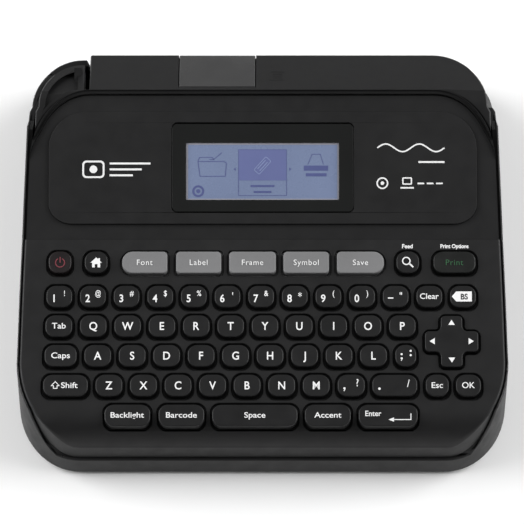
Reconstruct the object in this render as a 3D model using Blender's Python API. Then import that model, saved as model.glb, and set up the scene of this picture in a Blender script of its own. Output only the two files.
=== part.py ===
"""Desktop label maker with a keyboard, a display, a rear tape cover, a cutter lever and its print mechanism.

Lengths in this file are millimetres; the helpers turn them into Blender's metres. The frame has its
origin at the middle of the footprint, +X to the user's right, +Y to the rear and +Z up.
"""

import math

import bmesh
import bpy
from mathutils import Matrix, Vector

MM = 0.001
GAP = 0.3
WALL = 2.2

# Outline of the case seen from above
HALF_WIDTH = 94.5
WIDEST_Y = -66.0
TAPER, TAPER_LENGTH, TAPER_POWER = 1.4, 54.6, 1.42
FRONT_Y, REAR_Y = -88.5, 88.5
FRONT_CORNER = (24.0, 30.0)
REAR_CORNER = 16.0
LEAN_CORNER = 21.0

# Side profile
CASE_BOTTOM = 2.0
PART_LINE_Z = 21.5
KEY_TILT, DISPLAY_TILT = 14.0, 24.0
SEAM_Y, SEAM_Z = -10.8, 48.2
SLOPE_TOP_Y = -75.9
PANEL_FRONT = (-87.1, 24.0)
CREST = (43.5, 69.3)
STRIP_REAR = (65.5, 60.0)
LEAN_FOOT = (88.5, 18.0)
RIM_DROP = 4.0
STRIP_DROP = 2.5

# Insets of the upper shells from the lower case's outline
PANEL_INSET, COVER_INSET, LEVER_INSET, LEAN_INSET = 1.6, 2.6, 3.0, 1.5
DISPLAY_REAR_Y = 43.1
DISPLAY_CORNER = (23.6, 26.0)
DISPLAY_SKIN = 3.4

# Tape cover and cutter lever
SLOT_LEFT, SLOT_RIGHT = -69.0, -67.4
HINGE = (86.6, 13.2)
HINGE_RADIUS, PIN_RADIUS, PIN_CLEARANCE = 1.5, 1.0, 0.15
HINGE_ENDS = (62.0, 66.0)
COVER_EDGE = ((43.6, 55.2), (84.5, 15.7))
RIM_REAR_Z = 14.6
LEVER_PIVOT = (-71.5, 60.5)

# Keys: the wells in the panel, measured along the keyboard plane from the seam
ROW_TOP, ROW_FIRST, ROW_PITCH = -10.0, -23.75, 11.8
WELL_HEIGHT = 10.2
CAP_GAP, CAP_HEIGHT, CAP_CORNER = 0.7, 1.6, 2.0
FLANGE, FLANGE_TOP, FLANGE_THICK = 0.4, -2.6, 0.8

# Print mechanism, in the leaning frame: x, height up the slope, depth from its outer face
PLATEN_AT = (-72.7, 29.0)
GEAR_MODULE = 0.6
PINION_TEETH, IDLER_TEETH, PLATEN_TEETH, SPINDLE_TEETH = 10, 20, 18, 26
GEAR_LOW, GEAR_HIGH = 22.4, 24.4
CHASSIS_LOW, CHASSIS_HIGH = 25.0, 27.0
IDLER_ANGLE, PINION_ANGLE, SPINDLE_ANGLE = -12.0, -20.0, 12.0
HOLDER_PIVOT = (-76.6, 11.0)
HOLDER_LOW, HOLDER_HIGH = 6.9, 22.0
ROLLER_LOW, ROLLER_HIGH = 8.6, 19.8

COLOURS = {
    "case": ((0.012, 0.012, 0.013), 0.55, 0.0),
    "panel": ((0.018, 0.018, 0.019), 0.5, 0.0),
    "gloss": ((0.004, 0.004, 0.005), 0.12, 0.0),
    "black_key": ((0.014, 0.014, 0.015), 0.45, 0.0),
    "grey_key": ((0.29, 0.29, 0.29), 0.5, 0.0),
    "display": ((0.3, 0.36, 0.55), 0.3, 0.0),
    "window": ((0.1, 0.1, 0.1), 0.2, 0.0),
    "rubber": ((0.02, 0.02, 0.02), 0.85, 0.0),
    "board": ((0.02, 0.12, 0.05), 0.5, 0.0),
    "steel": ((0.55, 0.56, 0.58), 0.35, 1.0),
    "white_plastic": ((0.7, 0.7, 0.68), 0.5, 0.0),
    "grey_plastic": ((0.2, 0.2, 0.2), 0.5, 0.0),
}

WORLD = Matrix.Identity(4)
SIDE = Matrix(((0, 0, 1, 0), (1, 0, 0, 0), (0, 1, 0, 0), (0, 0, 0, 1)))


def tilted(degrees, y, z):
    return Matrix.Translation((0, y * MM, z * MM)) @ Matrix.Rotation(math.radians(degrees), 4, "X")


KEYBOARD = tilted(KEY_TILT, SEAM_Y, SEAM_Z)
DISPLAY = tilted(DISPLAY_TILT, SEAM_Y, SEAM_Z)
LEAN_DEGREES = math.degrees(
    math.atan2(STRIP_REAR[1] - LEAN_FOOT[1], STRIP_REAR[0] - LEAN_FOOT[0])
)
LEANING = tilted(LEAN_DEGREES, *LEAN_FOOT)
LEAN_PLAN = LEANING @ Matrix.Rotation(math.radians(90), 4, "X")


def clear_scene():
    for obj in list(bpy.data.objects):
        bpy.data.objects.remove(obj, do_unlink=True)


def collection(name, hidden=False):
    found = bpy.data.collections.new(name)
    bpy.context.scene.collection.children.link(found)
    found.hide_render = hidden
    return found


def material(kind):
    name = "label_maker_" + kind
    colour, roughness, metallic = COLOURS[kind]
    made = bpy.data.materials.new(name)
    made.use_nodes = True
    shader = made.node_tree.nodes["Principled BSDF"]
    shader.inputs["Base Color"].default_value = (*colour, 1)
    shader.inputs["Roughness"].default_value = roughness
    shader.inputs["Metallic"].default_value = metallic
    return made


def as_cutter(obj):
    PARTS.objects.unlink(obj)
    CUTTERS.objects.link(obj)
    obj.hide_render = True
    obj.display_type = "WIRE"
    return obj


def finish(obj, kind):
    obj.data.materials.clear()
    obj.data.materials.append(material(kind))
    return obj


def new_object(name, mesh, frame):
    obj = bpy.data.objects.new(name, mesh)
    obj.matrix_world = frame
    PARTS.objects.link(obj)
    return obj


def prism(name, outlines, low, high, frame=WORLD):
    """Closed outlines in the frame's XY plane, extruded from low to high along its Z."""
    curve = bpy.data.curves.new(name, "CURVE")
    curve.dimensions = "2D"
    curve.fill_mode = "BOTH"
    curve.extrude = (high - low) / 2 * MM
    for outline in outlines:
        spline = curve.splines.new("POLY")
        spline.points.add(len(outline) - 1)
        for point, (x, y) in zip(spline.points, outline):
            point.co = (x * MM, y * MM, 0, 1)
        spline.use_cyclic_u = True
    flat = bpy.data.objects.new(name + "_outline", curve)
    PARTS.objects.link(flat)
    shift = Matrix.Translation((0, 0, (low + high) / 2 * MM))
    flat.matrix_world = frame @ shift
    depsgraph = bpy.context.evaluated_depsgraph_get()
    mesh = bpy.data.meshes.new_from_object(flat.evaluated_get(depsgraph))
    mesh.name = name
    placed = new_object(name, mesh, flat.matrix_world.copy())
    bpy.data.objects.remove(flat, do_unlink=True)
    work = bmesh.new()
    work.from_mesh(mesh)
    bmesh.ops.remove_doubles(work, verts=work.verts, dist=1e-6)
    bmesh.ops.recalc_face_normals(work, faces=work.faces)
    work.to_mesh(mesh)
    work.free()
    return placed


def box(name, low, high, frame=WORLD):
    """A block between two corners given in the frame, with its origin at its middle."""
    low, high = Vector(low) * MM, Vector(high) * MM
    mesh = bpy.data.meshes.new(name)
    work = bmesh.new()
    bmesh.ops.create_cube(work, size=1.0, matrix=Matrix.Diagonal((*(high - low), 1)))
    work.to_mesh(mesh)
    work.free()
    return new_object(name, mesh, frame @ Matrix.Translation((low + high) / 2))


def cylinder(name, at, low, high, radius, frame=WORLD, sides=24):
    """A cylinder along the frame's Z through the point at, from low to high."""
    mesh = bpy.data.meshes.new(name)
    work = bmesh.new()
    bmesh.ops.create_cone(
        work,
        cap_ends=True,
        segments=sides,
        radius1=radius * MM,
        radius2=radius * MM,
        depth=(high - low) * MM,
    )
    work.to_mesh(mesh)
    work.free()
    mesh.shade_smooth()
    mesh.set_sharp_from_angle(angle=math.radians(35))
    middle = Matrix.Translation((at[0] * MM, at[1] * MM, (low + high) / 2 * MM))
    return new_object(name, mesh, frame @ middle)


def boolean(obj, other, operation):
    modifier = obj.modifiers.new(other.name, "BOOLEAN")
    modifier.operation = operation
    modifier.object = as_cutter(other)
    return obj


def cut(obj, *others):
    for other in others:
        boolean(obj, other, "DIFFERENCE")
    return obj


def join(obj, *others):
    for other in others:
        boolean(obj, other, "UNION")
    return obj


def keep(obj, *others):
    for other in others:
        boolean(obj, other, "INTERSECT")
    return obj


def set_origin(obj, point):
    """Moves the object's origin to a world point and leaves its shape where it is."""
    target = Matrix.Translation(Vector(point) * MM)
    obj.data.transform(target.inverted() @ obj.matrix_world)
    obj.matrix_world = target
    return obj


def arc(centre, radii, start, end, steps):
    points = []
    for i in range(steps + 1):
        angle = math.radians(start + (end - start) * i / steps)
        points.append((centre[0] + radii[0] * math.cos(angle), centre[1] + radii[1] * math.sin(angle)))
    return points


def rounded(x0, y0, x1, y1, radius, steps=1):
    """A rectangle's outline with its corners rounded, or cut off when steps is 1."""
    size = (radius, radius)
    return (
        arc((x1 - radius, y1 - radius), size, 0, 90, steps)
        + arc((x0 + radius, y1 - radius), size, 90, 180, steps)
        + arc((x0 + radius, y0 + radius), size, 180, 270, steps)
        + arc((x1 - radius, y0 + radius), size, 270, 360, steps)
    )


def half_width(y):
    past = max(y - WIDEST_Y, 0) / TAPER_LENGTH
    return HALF_WIDTH - TAPER * past**TAPER_POWER


def mirrored(right):
    """Closes an outline given on its right side from front to rear."""
    return right + [(-x, y) for x, y in reversed(right)]


def side_points(low, high, inset, steps=6):
    ys = [low + (high - low) * i / steps for i in range(steps + 1)]
    return [(half_width(y) - inset, y) for y in ys]


def case_plan(inset, rear_inset=None):
    """The case's outline from above, inset at its front and sides, and at its rear by rear_inset."""
    rx, ry = FRONT_CORNER[0] - inset, FRONT_CORNER[1] - inset
    corner = REAR_CORNER - inset
    front = FRONT_Y + inset
    rear = REAR_Y - (inset if rear_inset is None else rear_inset)
    width = half_width(rear - corner) - inset
    right = arc((HALF_WIDTH - inset - rx, front + ry), (rx, ry), -90, 0, 6)
    right += side_points(front + ry + 6, rear - corner, inset)
    right += arc((width - corner, rear - corner), (corner, corner), 0, 90, 4)[1:]
    return mirrored(right)


def lean_plan(inset, side_inset):
    """Cross-section square to the leaning rear face: its depth axis starts at that face."""
    radius = LEAN_CORNER - inset
    width = half_width(LEAN_FOOT[0] - 30) - side_inset
    right = [(130, 220), (130, 100)] + arc((width - radius, inset + radius), (radius, radius), 0, -90, 5)
    return mirrored(right)


def display_plan(grow, front, side=None):
    """The display housing's outline, from front to its rounded rear corners."""
    rx, ry = DISPLAY_CORNER[0] + grow, DISPLAY_CORNER[1] + grow
    rear = DISPLAY_REAR_Y + grow
    foot = rear - ry
    width = half_width(foot) - PANEL_INSET + grow
    sides = [(side, front), (side, foot)] if side else side_points(front, foot, PANEL_INSET - grow, 3)
    return mirrored(sides + arc((width - rx, foot), (rx, ry), 0, 90, 6)[0 if side else 1 :])


def key_plane_z(y):
    return SEAM_Z + (y - SEAM_Y) * math.tan(math.radians(KEY_TILT))


def display_z(y):
    return SEAM_Z + (y - SEAM_Y) * math.tan(math.radians(DISPLAY_TILT))


def front_slope(steps=6):
    """The convex roll from the panel's front edge up to the keyboard plane."""
    foot, top = PANEL_FRONT, (SLOPE_TOP_Y, key_plane_z(SLOPE_TOP_Y))
    knee = (foot[0] + 2.6, key_plane_z(foot[0] + 2.6))
    points = []
    for i in range(steps + 1):
        t = i / steps
        weights = ((1 - t) ** 2, 2 * t * (1 - t), t * t)
        points.append(tuple(sum(w * p[k] for w, p in zip(weights, (foot, knee, top))) for k in (0, 1)))
    return points


def top_line(drop):
    """The upper surface from front to rear, lowered by drop, as side-view points."""
    line = front_slope() + [(SEAM_Y, SEAM_Z), (CREST[0], display_z(CREST[0]))]
    return [(y, z - drop) for y, z in line]


def leaning_point(x, up, depth):
    return LEANING @ Vector((x * MM, up * MM, depth * MM)) / MM


def shaped(name, profile, plan, lean):
    """A side profile trimmed by an outline from above and by the leaning rear outline."""
    body = prism(name, [profile], -120, 120, SIDE)
    keep(body, prism(name + "_plan", [plan], -20, 100))
    if lean is not None:
        keep(body, prism(name + "_lean", [lean], -90, 60, LEAN_PLAN))
    return body


# Cases and covers


def base_case():
    lower = [(FRONT_Y, CASE_BOTTOM), (FRONT_Y, PART_LINE_Z - GAP)]
    rim = [p for p in top_line(RIM_DROP) if p[0] > SLOPE_TOP_Y - 0.1 and p[0] < 20]
    rim += [(30.0, display_z(30.0) - RIM_DROP), (36.0, 59.5), (62.0, 51.0), (68.0, 54.0)]
    outside = lower + [(PANEL_FRONT[0] + 1, PART_LINE_Z - GAP)] + rim
    outside += [LEAN_FOOT, (REAR_Y, CASE_BOTTOM)]
    body = shaped("base_case", outside, case_plan(0), lean_plan(LEAN_INSET, 0))
    hollow = [(-100, CASE_BOTTOM + WALL), (-100, 100), (100, 100), (100, CASE_BOTTOM + WALL)]
    cut(body, shaped("base_hollow", hollow, case_plan(WALL), lean_plan(LEAN_INSET + WALL, WALL)))
    (y0, z0), (y1, z1) = [(y - 0.45, z - 0.45) for y, z in COVER_EDGE]
    opening = [(y0, 100), (y0, z0), (y1, z1), (y1 + 0.4, RIM_REAR_Z), (100, RIM_REAR_Z), (100, 100)]
    cut(body, prism("cover_opening", [opening], SLOT_LEFT, 120, SIDE))
    reach = HINGE_ENDS[1] + 0.4
    cut(body, box("hinge_slot", (-reach, 80, HINGE[1] - 2.2), (reach, 100, 30)))
    for x in (-HINGE_ENDS[1], HINGE_ENDS[0]):
        ear = box("hinge_ear", (x, 84.4, 6.0), (x + 4.0, 88.3, 15.6))
        bore = cylinder("ear_bore", HINGE, x - 2, x + 6, PIN_RADIUS + PIN_CLEARANCE, SIDE, 12)
        join(body, cut(ear, bore))
    cut(body, box("battery_hatch", (-46.0, -64.0, 0), (46.0, -8.0, 10)))
    cut(body, box("usb_hole", (85.0, -31.0, 10.6), (99.0, -22.6, 14.6)))
    cut(body, cylinder("jack_hole", (-8.0, 12.6), 85, 99, 4.0, SIDE))
    for at in SCREWS:
        join(body, cylinder("boss", at, 3.0, 21.0, 3.4, sides=12))
        cut(body, cylinder("boss_bore", at, 0, 22, 1.6, sides=12))
        cut(body, cylinder("boss_counterbore", at, 0, 4.4, 2.7, sides=12))
    return finish(body, "case")


def keyboard_housing():
    top = top_line(0)[:-1]
    outside = top[:-1] + [(SEAM_Y - GAP / 2, SEAM_Z)]
    outside += [(SEAM_Y - GAP / 2, SEAM_Z - RIM_DROP + GAP), (SLOPE_TOP_Y, key_plane_z(SLOPE_TOP_Y) - RIM_DROP + GAP)]
    outside += [(PANEL_FRONT[0] + 1.4, PART_LINE_Z), (PANEL_FRONT[0], PART_LINE_Z)]
    body = shaped("keyboard_housing", outside, case_plan(PANEL_INSET - 0.4), None)
    under = [(y, z - WALL / math.cos(math.radians(KEY_TILT))) for y, z in top]
    under = [(FRONT_Y + 4.0, 0), (FRONT_Y + 4.0, 26.6)] + under[3:] + [(SEAM_Y + 5, 0)]
    cut(body, shaped("keyboard_hollow", under, case_plan(PANEL_INSET + WALL), None))
    wells = [rounded(x0, q0, x1, q1, CAP_CORNER) for x0, q0, x1, q1 in all_wells()]
    cut(body, prism("key_wells", wells + [plus_outline(0)], -9, 12, KEYBOARD))
    return finish(body, "panel")


def display_housing():
    back = DISPLAY_REAR_Y + 10
    outside = [(-30, display_z(-30)), (back, display_z(back)), (back, display_z(back) - 7.5)]
    outside += [(32.0, display_z(32.0) - 7.5), (31.0, display_z(31.0) - RIM_DROP + GAP)]
    outside += [(-30, display_z(-30) - RIM_DROP + GAP)]
    body = prism("display_housing", [outside], -120, 120, SIDE)
    front = SEAM_Y + GAP / 2
    keep(body, prism("display_outline", [display_plan(0, front)], 0, 100))
    skin = DISPLAY_SKIN / math.cos(math.radians(DISPLAY_TILT))
    under = [(-40, 0), (-40, display_z(-40) - skin), (back, display_z(back) - skin), (back, 0)]
    hollow = prism("display_hollow", [under], -130, 130, SIDE)
    cut(body, keep(hollow, prism("display_hollow_plan", [display_plan(-WALL, -20)], -10, 110)))
    cut(body, prism("fascia_recess", [fascia_outline(GAP)], -FASCIA_DEPTH - GAP, 5, DISPLAY))
    cut(body, box("screen_window", (-33, 12.6, -9), (33, 42.6, 5), DISPLAY))
    return finish(body, "panel")


FASCIA = (-82.8, 5.7, 83.0, 49.5)
FASCIA_DEPTH = 1.4
LENS = (-35.0, 10.5, 35.2, 44.9)


def fascia_outline(grow):
    x0, y0, x1, y1 = FASCIA
    low, high = (9.3 + grow, 7.8 + grow), (14.3 + grow, 14.3 + grow)
    outline = arc((x1 - 14.3, y1 - 14.3), high, 0, 90, 4)
    outline += arc((x0 + 14.3, y1 - 14.3), high, 90, 180, 4)
    outline += arc((x0 + 9.3, y0 + 7.8), low, 180, 270, 4)
    outline += arc((x1 - 9.3, y0 + 7.8), low, 270, 360, 4)
    return outline


def display_fascia():
    body = prism("display_fascia", [fascia_outline(0)], -FASCIA_DEPTH, -0.1, DISPLAY)
    x0, y0, x1, y1 = LENS
    cut(body, box("lens_hole", (x0 - GAP, y0 - GAP, -5), (x1 + GAP, y1 + GAP, 5), DISPLAY))
    return finish(body, "panel")


def lcd_lens():
    x0, y0, x1, y1 = LENS
    return finish(box("lcd_lens", (x0, y0, -FASCIA_DEPTH), (x1, y1, -0.5), DISPLAY), "gloss")


def lcd_module():
    glass = box("lcd_module", (-32.0, 14.0, -7.5), (32.0, 41.0, -DISPLAY_SKIN + 1.2), DISPLAY)
    join(glass, box("lcd_board", (-38.0, 8.0, -9.2), (38.0, 46.0, -7.0), DISPLAY))
    return finish(glass, "display")


def cover_profile(inset):
    """The top strip and the leaning rear face, in side view."""
    before = CREST[0] - 3.0
    line = [(y, display_z(y) - STRIP_DROP) for y in (15.0, before)] + [CREST, STRIP_REAR, LEAN_FOOT]
    inward = ((0, -1), (0, -1), (-0.3, -1), (-0.85, -0.75), (-1, -0.2))
    return [(y + dy * inset, z + dz * inset) for (y, z), (dy, dz) in zip(line, inward)]


def behind_display(name):
    outline = display_plan(GAP + 0.1, -120, 130)
    return prism(name, [outline], -10, 120)


def tape_cover():
    line = cover_profile(0)
    edge = COVER_EDGE
    outside = line + [(REAR_Y - 0.4, edge[1][1]), edge[1], edge[0], (15.0, 56.4)]
    body = shaped("tape_cover", outside, case_plan(COVER_INSET, 0), lean_plan(0, COVER_INSET))
    inner = cover_profile(WALL) + [(LEAN_FOOT[0] - WALL - 0.2, 5.0), (0, 5.0)]
    plan, lean = case_plan(COVER_INSET + WALL, WALL), lean_plan(WALL, COVER_INSET + WALL)
    cut(body, shaped("cover_hollow", inner, plan, lean), behind_display("cover_front"))
    cut(body, box("cover_left", (-130, -100, -10), (SLOT_RIGHT, 130, 120)))
    inner, outer = HINGE_ENDS
    for x in (-outer, inner):
        cut(body, box("ear_notch", (x - 0.4, 80, 10), (x + 4.4, 95, 16.2)))
    join(body, cylinder("hinge_barrel", HINGE, 0.5 - inner, inner - 0.5, HINGE_RADIUS, SIDE, 12))
    join(body, cylinder("hinge_pins", HINGE, 0.5 - outer, outer - 0.5, PIN_RADIUS, SIDE, 12))
    join(body, box("hinge_web", (1.0 - inner, 85.8, 13.4), (inner - 1.0, 87.6, 17.4)))
    cut(body, prism("window_cut", [window_sides(GAP)], WINDOW_X[0] - GAP, WINDOW_X[1] + GAP, SIDE))
    cut(body, box("latch_hole", (20.0 - GAP, 33.0 - GAP, -5), (34.0 + GAP, 42.0 + GAP, 5), LEANING))
    return finish(set_origin(body, (0, *HINGE)), "case")


WINDOW_X = (-32.5, -2.8)


def window_sides(grow):
    """The window runs over the edge between the top strip and the leaning face."""
    depth = WALL + 0.4
    top, edge, low = (46.0 - grow, 75.0), (76.0, 66.0), (78.0, 43.0 - grow)
    return [top, edge, (low[0] + 8, low[1]), (low[0] - 6, low[1]), (62.2 - depth, 57.5), (46.0 - grow, 60.0)]


def cassette_window():
    x0, x1 = WINDOW_X
    line = cover_profile(0)[2:]
    inner = cover_profile(WALL - 0.5)[2:]
    body = prism("cassette_window", [line + inner[::-1]], x0, x1, SIDE)
    keep(body, prism("window_reach", [window_sides(0)], x0 - 5, x1 + 5, SIDE))
    return finish(set_origin(body, (0, *HINGE)), "window")


def cover_latch():
    body = box("cover_latch", (20.0, 33.0, 0.3), (34.0, 42.0, 3.0), LEANING)
    join(body, box("latch_slide", (18.0, 31.0, WALL + 0.4), (36.0, 44.0, 4.2), LEANING))
    return finish(body, "case")


# Cutter lever and blade


def cutter_lever():
    line = cover_profile(0.4)
    outside = line[:-1] + [(72.0, 49.0), (60.0, 50.0), (40.0, 53.0), (15.0, 56.5)]
    plan, lean = case_plan(LEVER_INSET, 0), lean_plan(LEAN_INSET + WALL + 0.4, LEVER_INSET)
    body = shaped("cutter_lever", outside, plan, lean)
    inner = cover_profile(0.4 + WALL) + [(80, 20.0), (0, 20.0)]
    plan, lean = case_plan(LEVER_INSET + 1.8, 0), lean_plan(LEAN_INSET + 2 * WALL + 0.4, LEVER_INSET + 1.8)
    cut(body, shaped("lever_hollow", inner, plan, lean), behind_display("lever_front"))
    cut(body, box("lever_right", (SLOT_LEFT - 0.4, -100, -10), (130, 130, 120)))
    pivot_x, pivot_z = LEVER_PIVOT
    pin = cylinder("lever_trunnion", (pivot_x, -pivot_z), 36.5, 52.0, 1.5, ALONG_Y, 12)
    join(body, pin)
    join(body, box("lever_arm", (-73.4, 44.5, 5.5), (-70.6, 58.0, 15.0), LEANING))
    join(body, box("lever_rib", (-73.0, 46.0, 56.0), (-70.7, 51.0, 64.8)))
    return finish(set_origin(body, (pivot_x, 46.0, pivot_z)), "case")


ALONG_Y = Matrix.Rotation(math.radians(-90), 4, "X")


def cutter_blade():
    body = box("cutter_blade", (-70.3, 40.4, 6.5), (-69.5, 47.0, 16.0), LEANING)
    return finish(set_origin(body, (LEVER_PIVOT[0], 46.0, LEVER_PIVOT[1])), "steel")


# Print mechanism


def beside(centre, first, second, degrees):
    """The centre of a gear that meshes with another in the given direction."""
    distance = GEAR_MODULE * (first + second) / 2
    angle = math.radians(degrees)
    return (centre[0] + distance * math.cos(angle), centre[1] + distance * math.sin(angle))


IDLER_AT = beside(PLATEN_AT, PLATEN_TEETH, IDLER_TEETH, IDLER_ANGLE)
PINION_AT = beside(IDLER_AT, IDLER_TEETH, PINION_TEETH, PINION_ANGLE)
SPINDLE_AT = beside(PINION_AT, PINION_TEETH, SPINDLE_TEETH, SPINDLE_ANGLE)


def meshed_phase(phase, teeth, other_teeth, degrees):
    """Where the other gear's first tooth stands, so that a gap faces this gear's tooth."""
    lead = phase - degrees
    return degrees + 180 - lead * teeth / other_teeth + 180 / other_teeth


IDLER_PHASE = meshed_phase(0, PLATEN_TEETH, IDLER_TEETH, IDLER_ANGLE)
PINION_PHASE = meshed_phase(IDLER_PHASE, IDLER_TEETH, PINION_TEETH, PINION_ANGLE)
SPINDLE_PHASE = meshed_phase(PINION_PHASE, PINION_TEETH, SPINDLE_TEETH, SPINDLE_ANGLE)


def gear_outline(teeth, phase):
    pitch = GEAR_MODULE * teeth / 2
    outer, root = pitch + 0.8 * GEAR_MODULE, pitch - 1.15 * GEAR_MODULE
    step = 360 / teeth
    points = []
    for i in range(teeth):
        for radius, part in ((root, -0.33), (outer, -0.12), (outer, 0.12), (root, 0.33)):
            angle = math.radians(phase + (i + part) * step)
            points.append((radius * math.cos(angle), radius * math.sin(angle)))
    return points


def gear(name, at, teeth, phase, low=GEAR_LOW, high=GEAR_HIGH):
    frame = LEANING @ Matrix.Translation((at[0] * MM, at[1] * MM, 0))
    return prism(name, [gear_outline(teeth, phase)], low, high, frame)


def chassis():
    body = box("chassis", (-84.0, 1.5, CHASSIS_LOW), (30.0, 46.0, CHASSIS_HIGH), LEANING)
    join(body, box("lever_post", (-75.6, 40.0, 22.0), (-67.9, 63.0, CHASSIS_HIGH), LEANING))
    for at, low in ((IDLER_AT, GEAR_LOW), (HOLDER_PIVOT, HOLDER_LOW)):
        join(body, cylinder("stud", at, low, CHASSIS_LOW + 0.4, 1.3, LEANING, 12))
    for at, radius in ((PINION_AT, 1.6), (SPINDLE_AT, 1.6)):
        cut(body, cylinder("shaft_hole", at, 20, 30, radius, LEANING, 12))
    platen = (PLATEN_AT[0] - 1.2, PLATEN_AT[1])
    cut(body, cylinder("platen_slot", platen, 20, 30, 3.4, LEANING, 12))
    pivot_x, pivot_z = LEVER_PIVOT
    cut(body, cylinder("trunnion_bore", (pivot_x, -pivot_z), 20, 52.5, 1.65, ALONG_Y, 12))
    return finish(body, "grey_plastic")


def print_head():
    body = box("print_head", (-67.9, 20.0, 7.5), (-65.7, 39.6, 21.9), LEANING)
    join(body, box("head_foot", (-67.9, 36.4, 21.0), (-65.7, 39.6, CHASSIS_LOW - GAP), LEANING))
    return finish(body, "steel")


def platen_roller():
    body = cylinder("platen_roller", PLATEN_AT, ROLLER_LOW, ROLLER_HIGH, 4.2, LEANING, 20)
    join(body, cylinder("platen_shaft", PLATEN_AT, HOLDER_LOW, 25.6, 1.2, LEANING, 12))
    return finish(body, "rubber")


def platen_gear():
    body = gear("platen_gear", PLATEN_AT, PLATEN_TEETH, 0)
    cut(body, cylinder("platen_gear_bore", PLATEN_AT, 20, 30, 1.25, LEANING, 12))
    return finish(body, "white_plastic")


def roller_holder():
    outline = [(-78.8, 8.2), (-74.2, 8.2), (-74.2, 22.0), (-70.4, 26.5), (-70.4, 31.5)]
    outline += [(-75.0, 34.5), (-78.8, 33.0)]
    body = prism("roller_holder", [outline], HOLDER_LOW, HOLDER_HIGH, LEANING)
    low, high = ROLLER_LOW - 0.4, ROLLER_HIGH + 0.4
    cut(body, cylinder("roller_space", PLATEN_AT, low, high, 4.9, LEANING, 16))
    cut(body, box("roller_front", (PLATEN_AT[0], 20.0, low), (-60.0, 40.0, high), LEANING))
    cut(body, cylinder("shaft_bore", PLATEN_AT, 0, 30, 1.3, LEANING, 12))
    cut(body, cylinder("pivot_bore", HOLDER_PIVOT, 0, 30, 1.45, LEANING, 12))
    origin = leaning_point(*HOLDER_PIVOT, 12.0)
    return finish(set_origin(body, origin), "grey_plastic")


def feed_motor():
    body = cylinder("feed_motor", PINION_AT, CHASSIS_HIGH + GAP, 38.0, 7.6, LEANING, 24)
    return finish(body, "steel")


def motor_pinion():
    body = gear("motor_pinion", PINION_AT, PINION_TEETH, PINION_PHASE)
    join(body, cylinder("motor_shaft", PINION_AT, 23.0, CHASSIS_HIGH, 1.0, LEANING, 12))
    return finish(body, "steel")


def idler_gear():
    body = gear("idler_gear", IDLER_AT, IDLER_TEETH, IDLER_PHASE)
    cut(body, cylinder("idler_bore", IDLER_AT, 18, 30, 1.35, LEANING, 12))
    return finish(body, "white_plastic")


def ribbon_spindle():
    body = gear("ribbon_spindle", SPINDLE_AT, SPINDLE_TEETH, SPINDLE_PHASE)
    join(body, cylinder("spindle_peg", SPINDLE_AT, 10.0, 26.4, 1.4, LEANING, 12))
    return finish(body, "white_plastic")


def tape_cassette():
    body = prism("tape_cassette", [rounded(-57.0, 1.0, 18.0, 45.0, 4.0, 2)], 4.6, 21.8, LEANING)
    cut(body, cylinder("spindle_well", SPINDLE_AT, 8.0, 30, 3.4, LEANING, 12))
    return finish(body, "grey_plastic")


# Electronics, power and fastenings


def key_mat():
    outline = rounded(-84.0, -75.0, 84.0, -3.0, 8.0)
    body = prism("key_mat", [outline], -5.4, -4.6, KEYBOARD)
    return finish(body, "rubber")


def main_board():
    body = box("main_board", (-83.0, -66.0, -7.4), (83.0, -3.5, -5.8), KEYBOARD)
    join(body, box("processor", (52.0, -30.0, -8.8), (66.0, -16.0, -7.2), KEYBOARD))
    join(body, box("capacitor", (70.0, -60.0, -10.0), (76.0, -52.0, -7.2), KEYBOARD))
    return finish(body, "board")


def battery_cover():
    body = box("battery_cover", (-46.0 + GAP, -64.0 + GAP, 2.0), (46.0 - GAP, -8.0 - GAP, 4.0))
    cut(body, box("thumb_grip", (-8.0, -60.0, 1.0), (8.0, -57.0, 2.7)))
    return finish(body, "case")


def batteries():
    """Six AA cells side by side, drawn as one body that touches along their flanks."""
    cells = 6
    radius, pitch, length = 7.1, 14.0, 50.0
    middle_z = 12.0
    body = None
    for i in range(cells):
        x = (i - (cells - 1) / 2) * pitch
        cell = cylinder("batteries", (x, -middle_z), -61.0, -61.0 + length, radius, ALONG_Y, 16)
        body = cell if body is None else join(body, cell)
    return finish(body, "steel")


SCREWS = ((-78.0, -62.0), (78.0, -62.0), (-78.0, 30.0), (78.0, 30.0))
FEET = {"front_foot": -74.0, "rear_foot": 72.0}


def foot_strip(name, y):
    outline = rounded(-62.0, y - 4.0, 62.0, y + 4.0, 4.0, 4)
    return finish(prism(name, [outline], 0, CASE_BOTTOM - GAP), "rubber")


def case_screw(index, at):
    body = cylinder(f"case_screw_{index}", at, 2.3, 4.1, 2.4, sides=12)
    join(body, cylinder("screw_shank", at, 3.8, 18.0, 1.3, sides=12))
    cut(body, box("screw_slot", (at[0] - 2.0, at[1] - 0.3, 2.0), (at[0] + 2.0, at[1] + 0.3, 3.0)))
    return finish(body, "steel")


def dc_inlet():
    body = box("dc_inlet", (78.0, -13.5, 6.5), (88.4, -2.5, 18.0))
    join(body, cylinder("inlet_collar", (-8.0, 12.6), 88, 93.4, 3.6, SIDE, 16))
    cut(body, cylinder("inlet_bore", (-8.0, 12.6), 82, 95, 2.7, SIDE, 16))
    return finish(body, "case")


def usb_port():
    body = box("usb_port", (82.0, -30.6, 11.0), (93.2, -23.0, 14.2))
    cut(body, box("usb_slot", (86.0, -29.9, 11.6), (95.0, -23.7, 13.6)))
    return finish(body, "steel")


# Keys


def row_middle(row):
    """The middle of a key row along the keyboard plane; row 0 is the function row."""
    return ROW_TOP if row == 0 else ROW_FIRST - (row - 1) * ROW_PITCH


def run(first, pitch, width, count):
    """Wells of one width at a constant pitch, as pairs of left and right edges."""
    middles = [first + i * pitch for i in range(count)]
    return [(middle - width / 2, middle + width / 2) for middle in middles]


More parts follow.
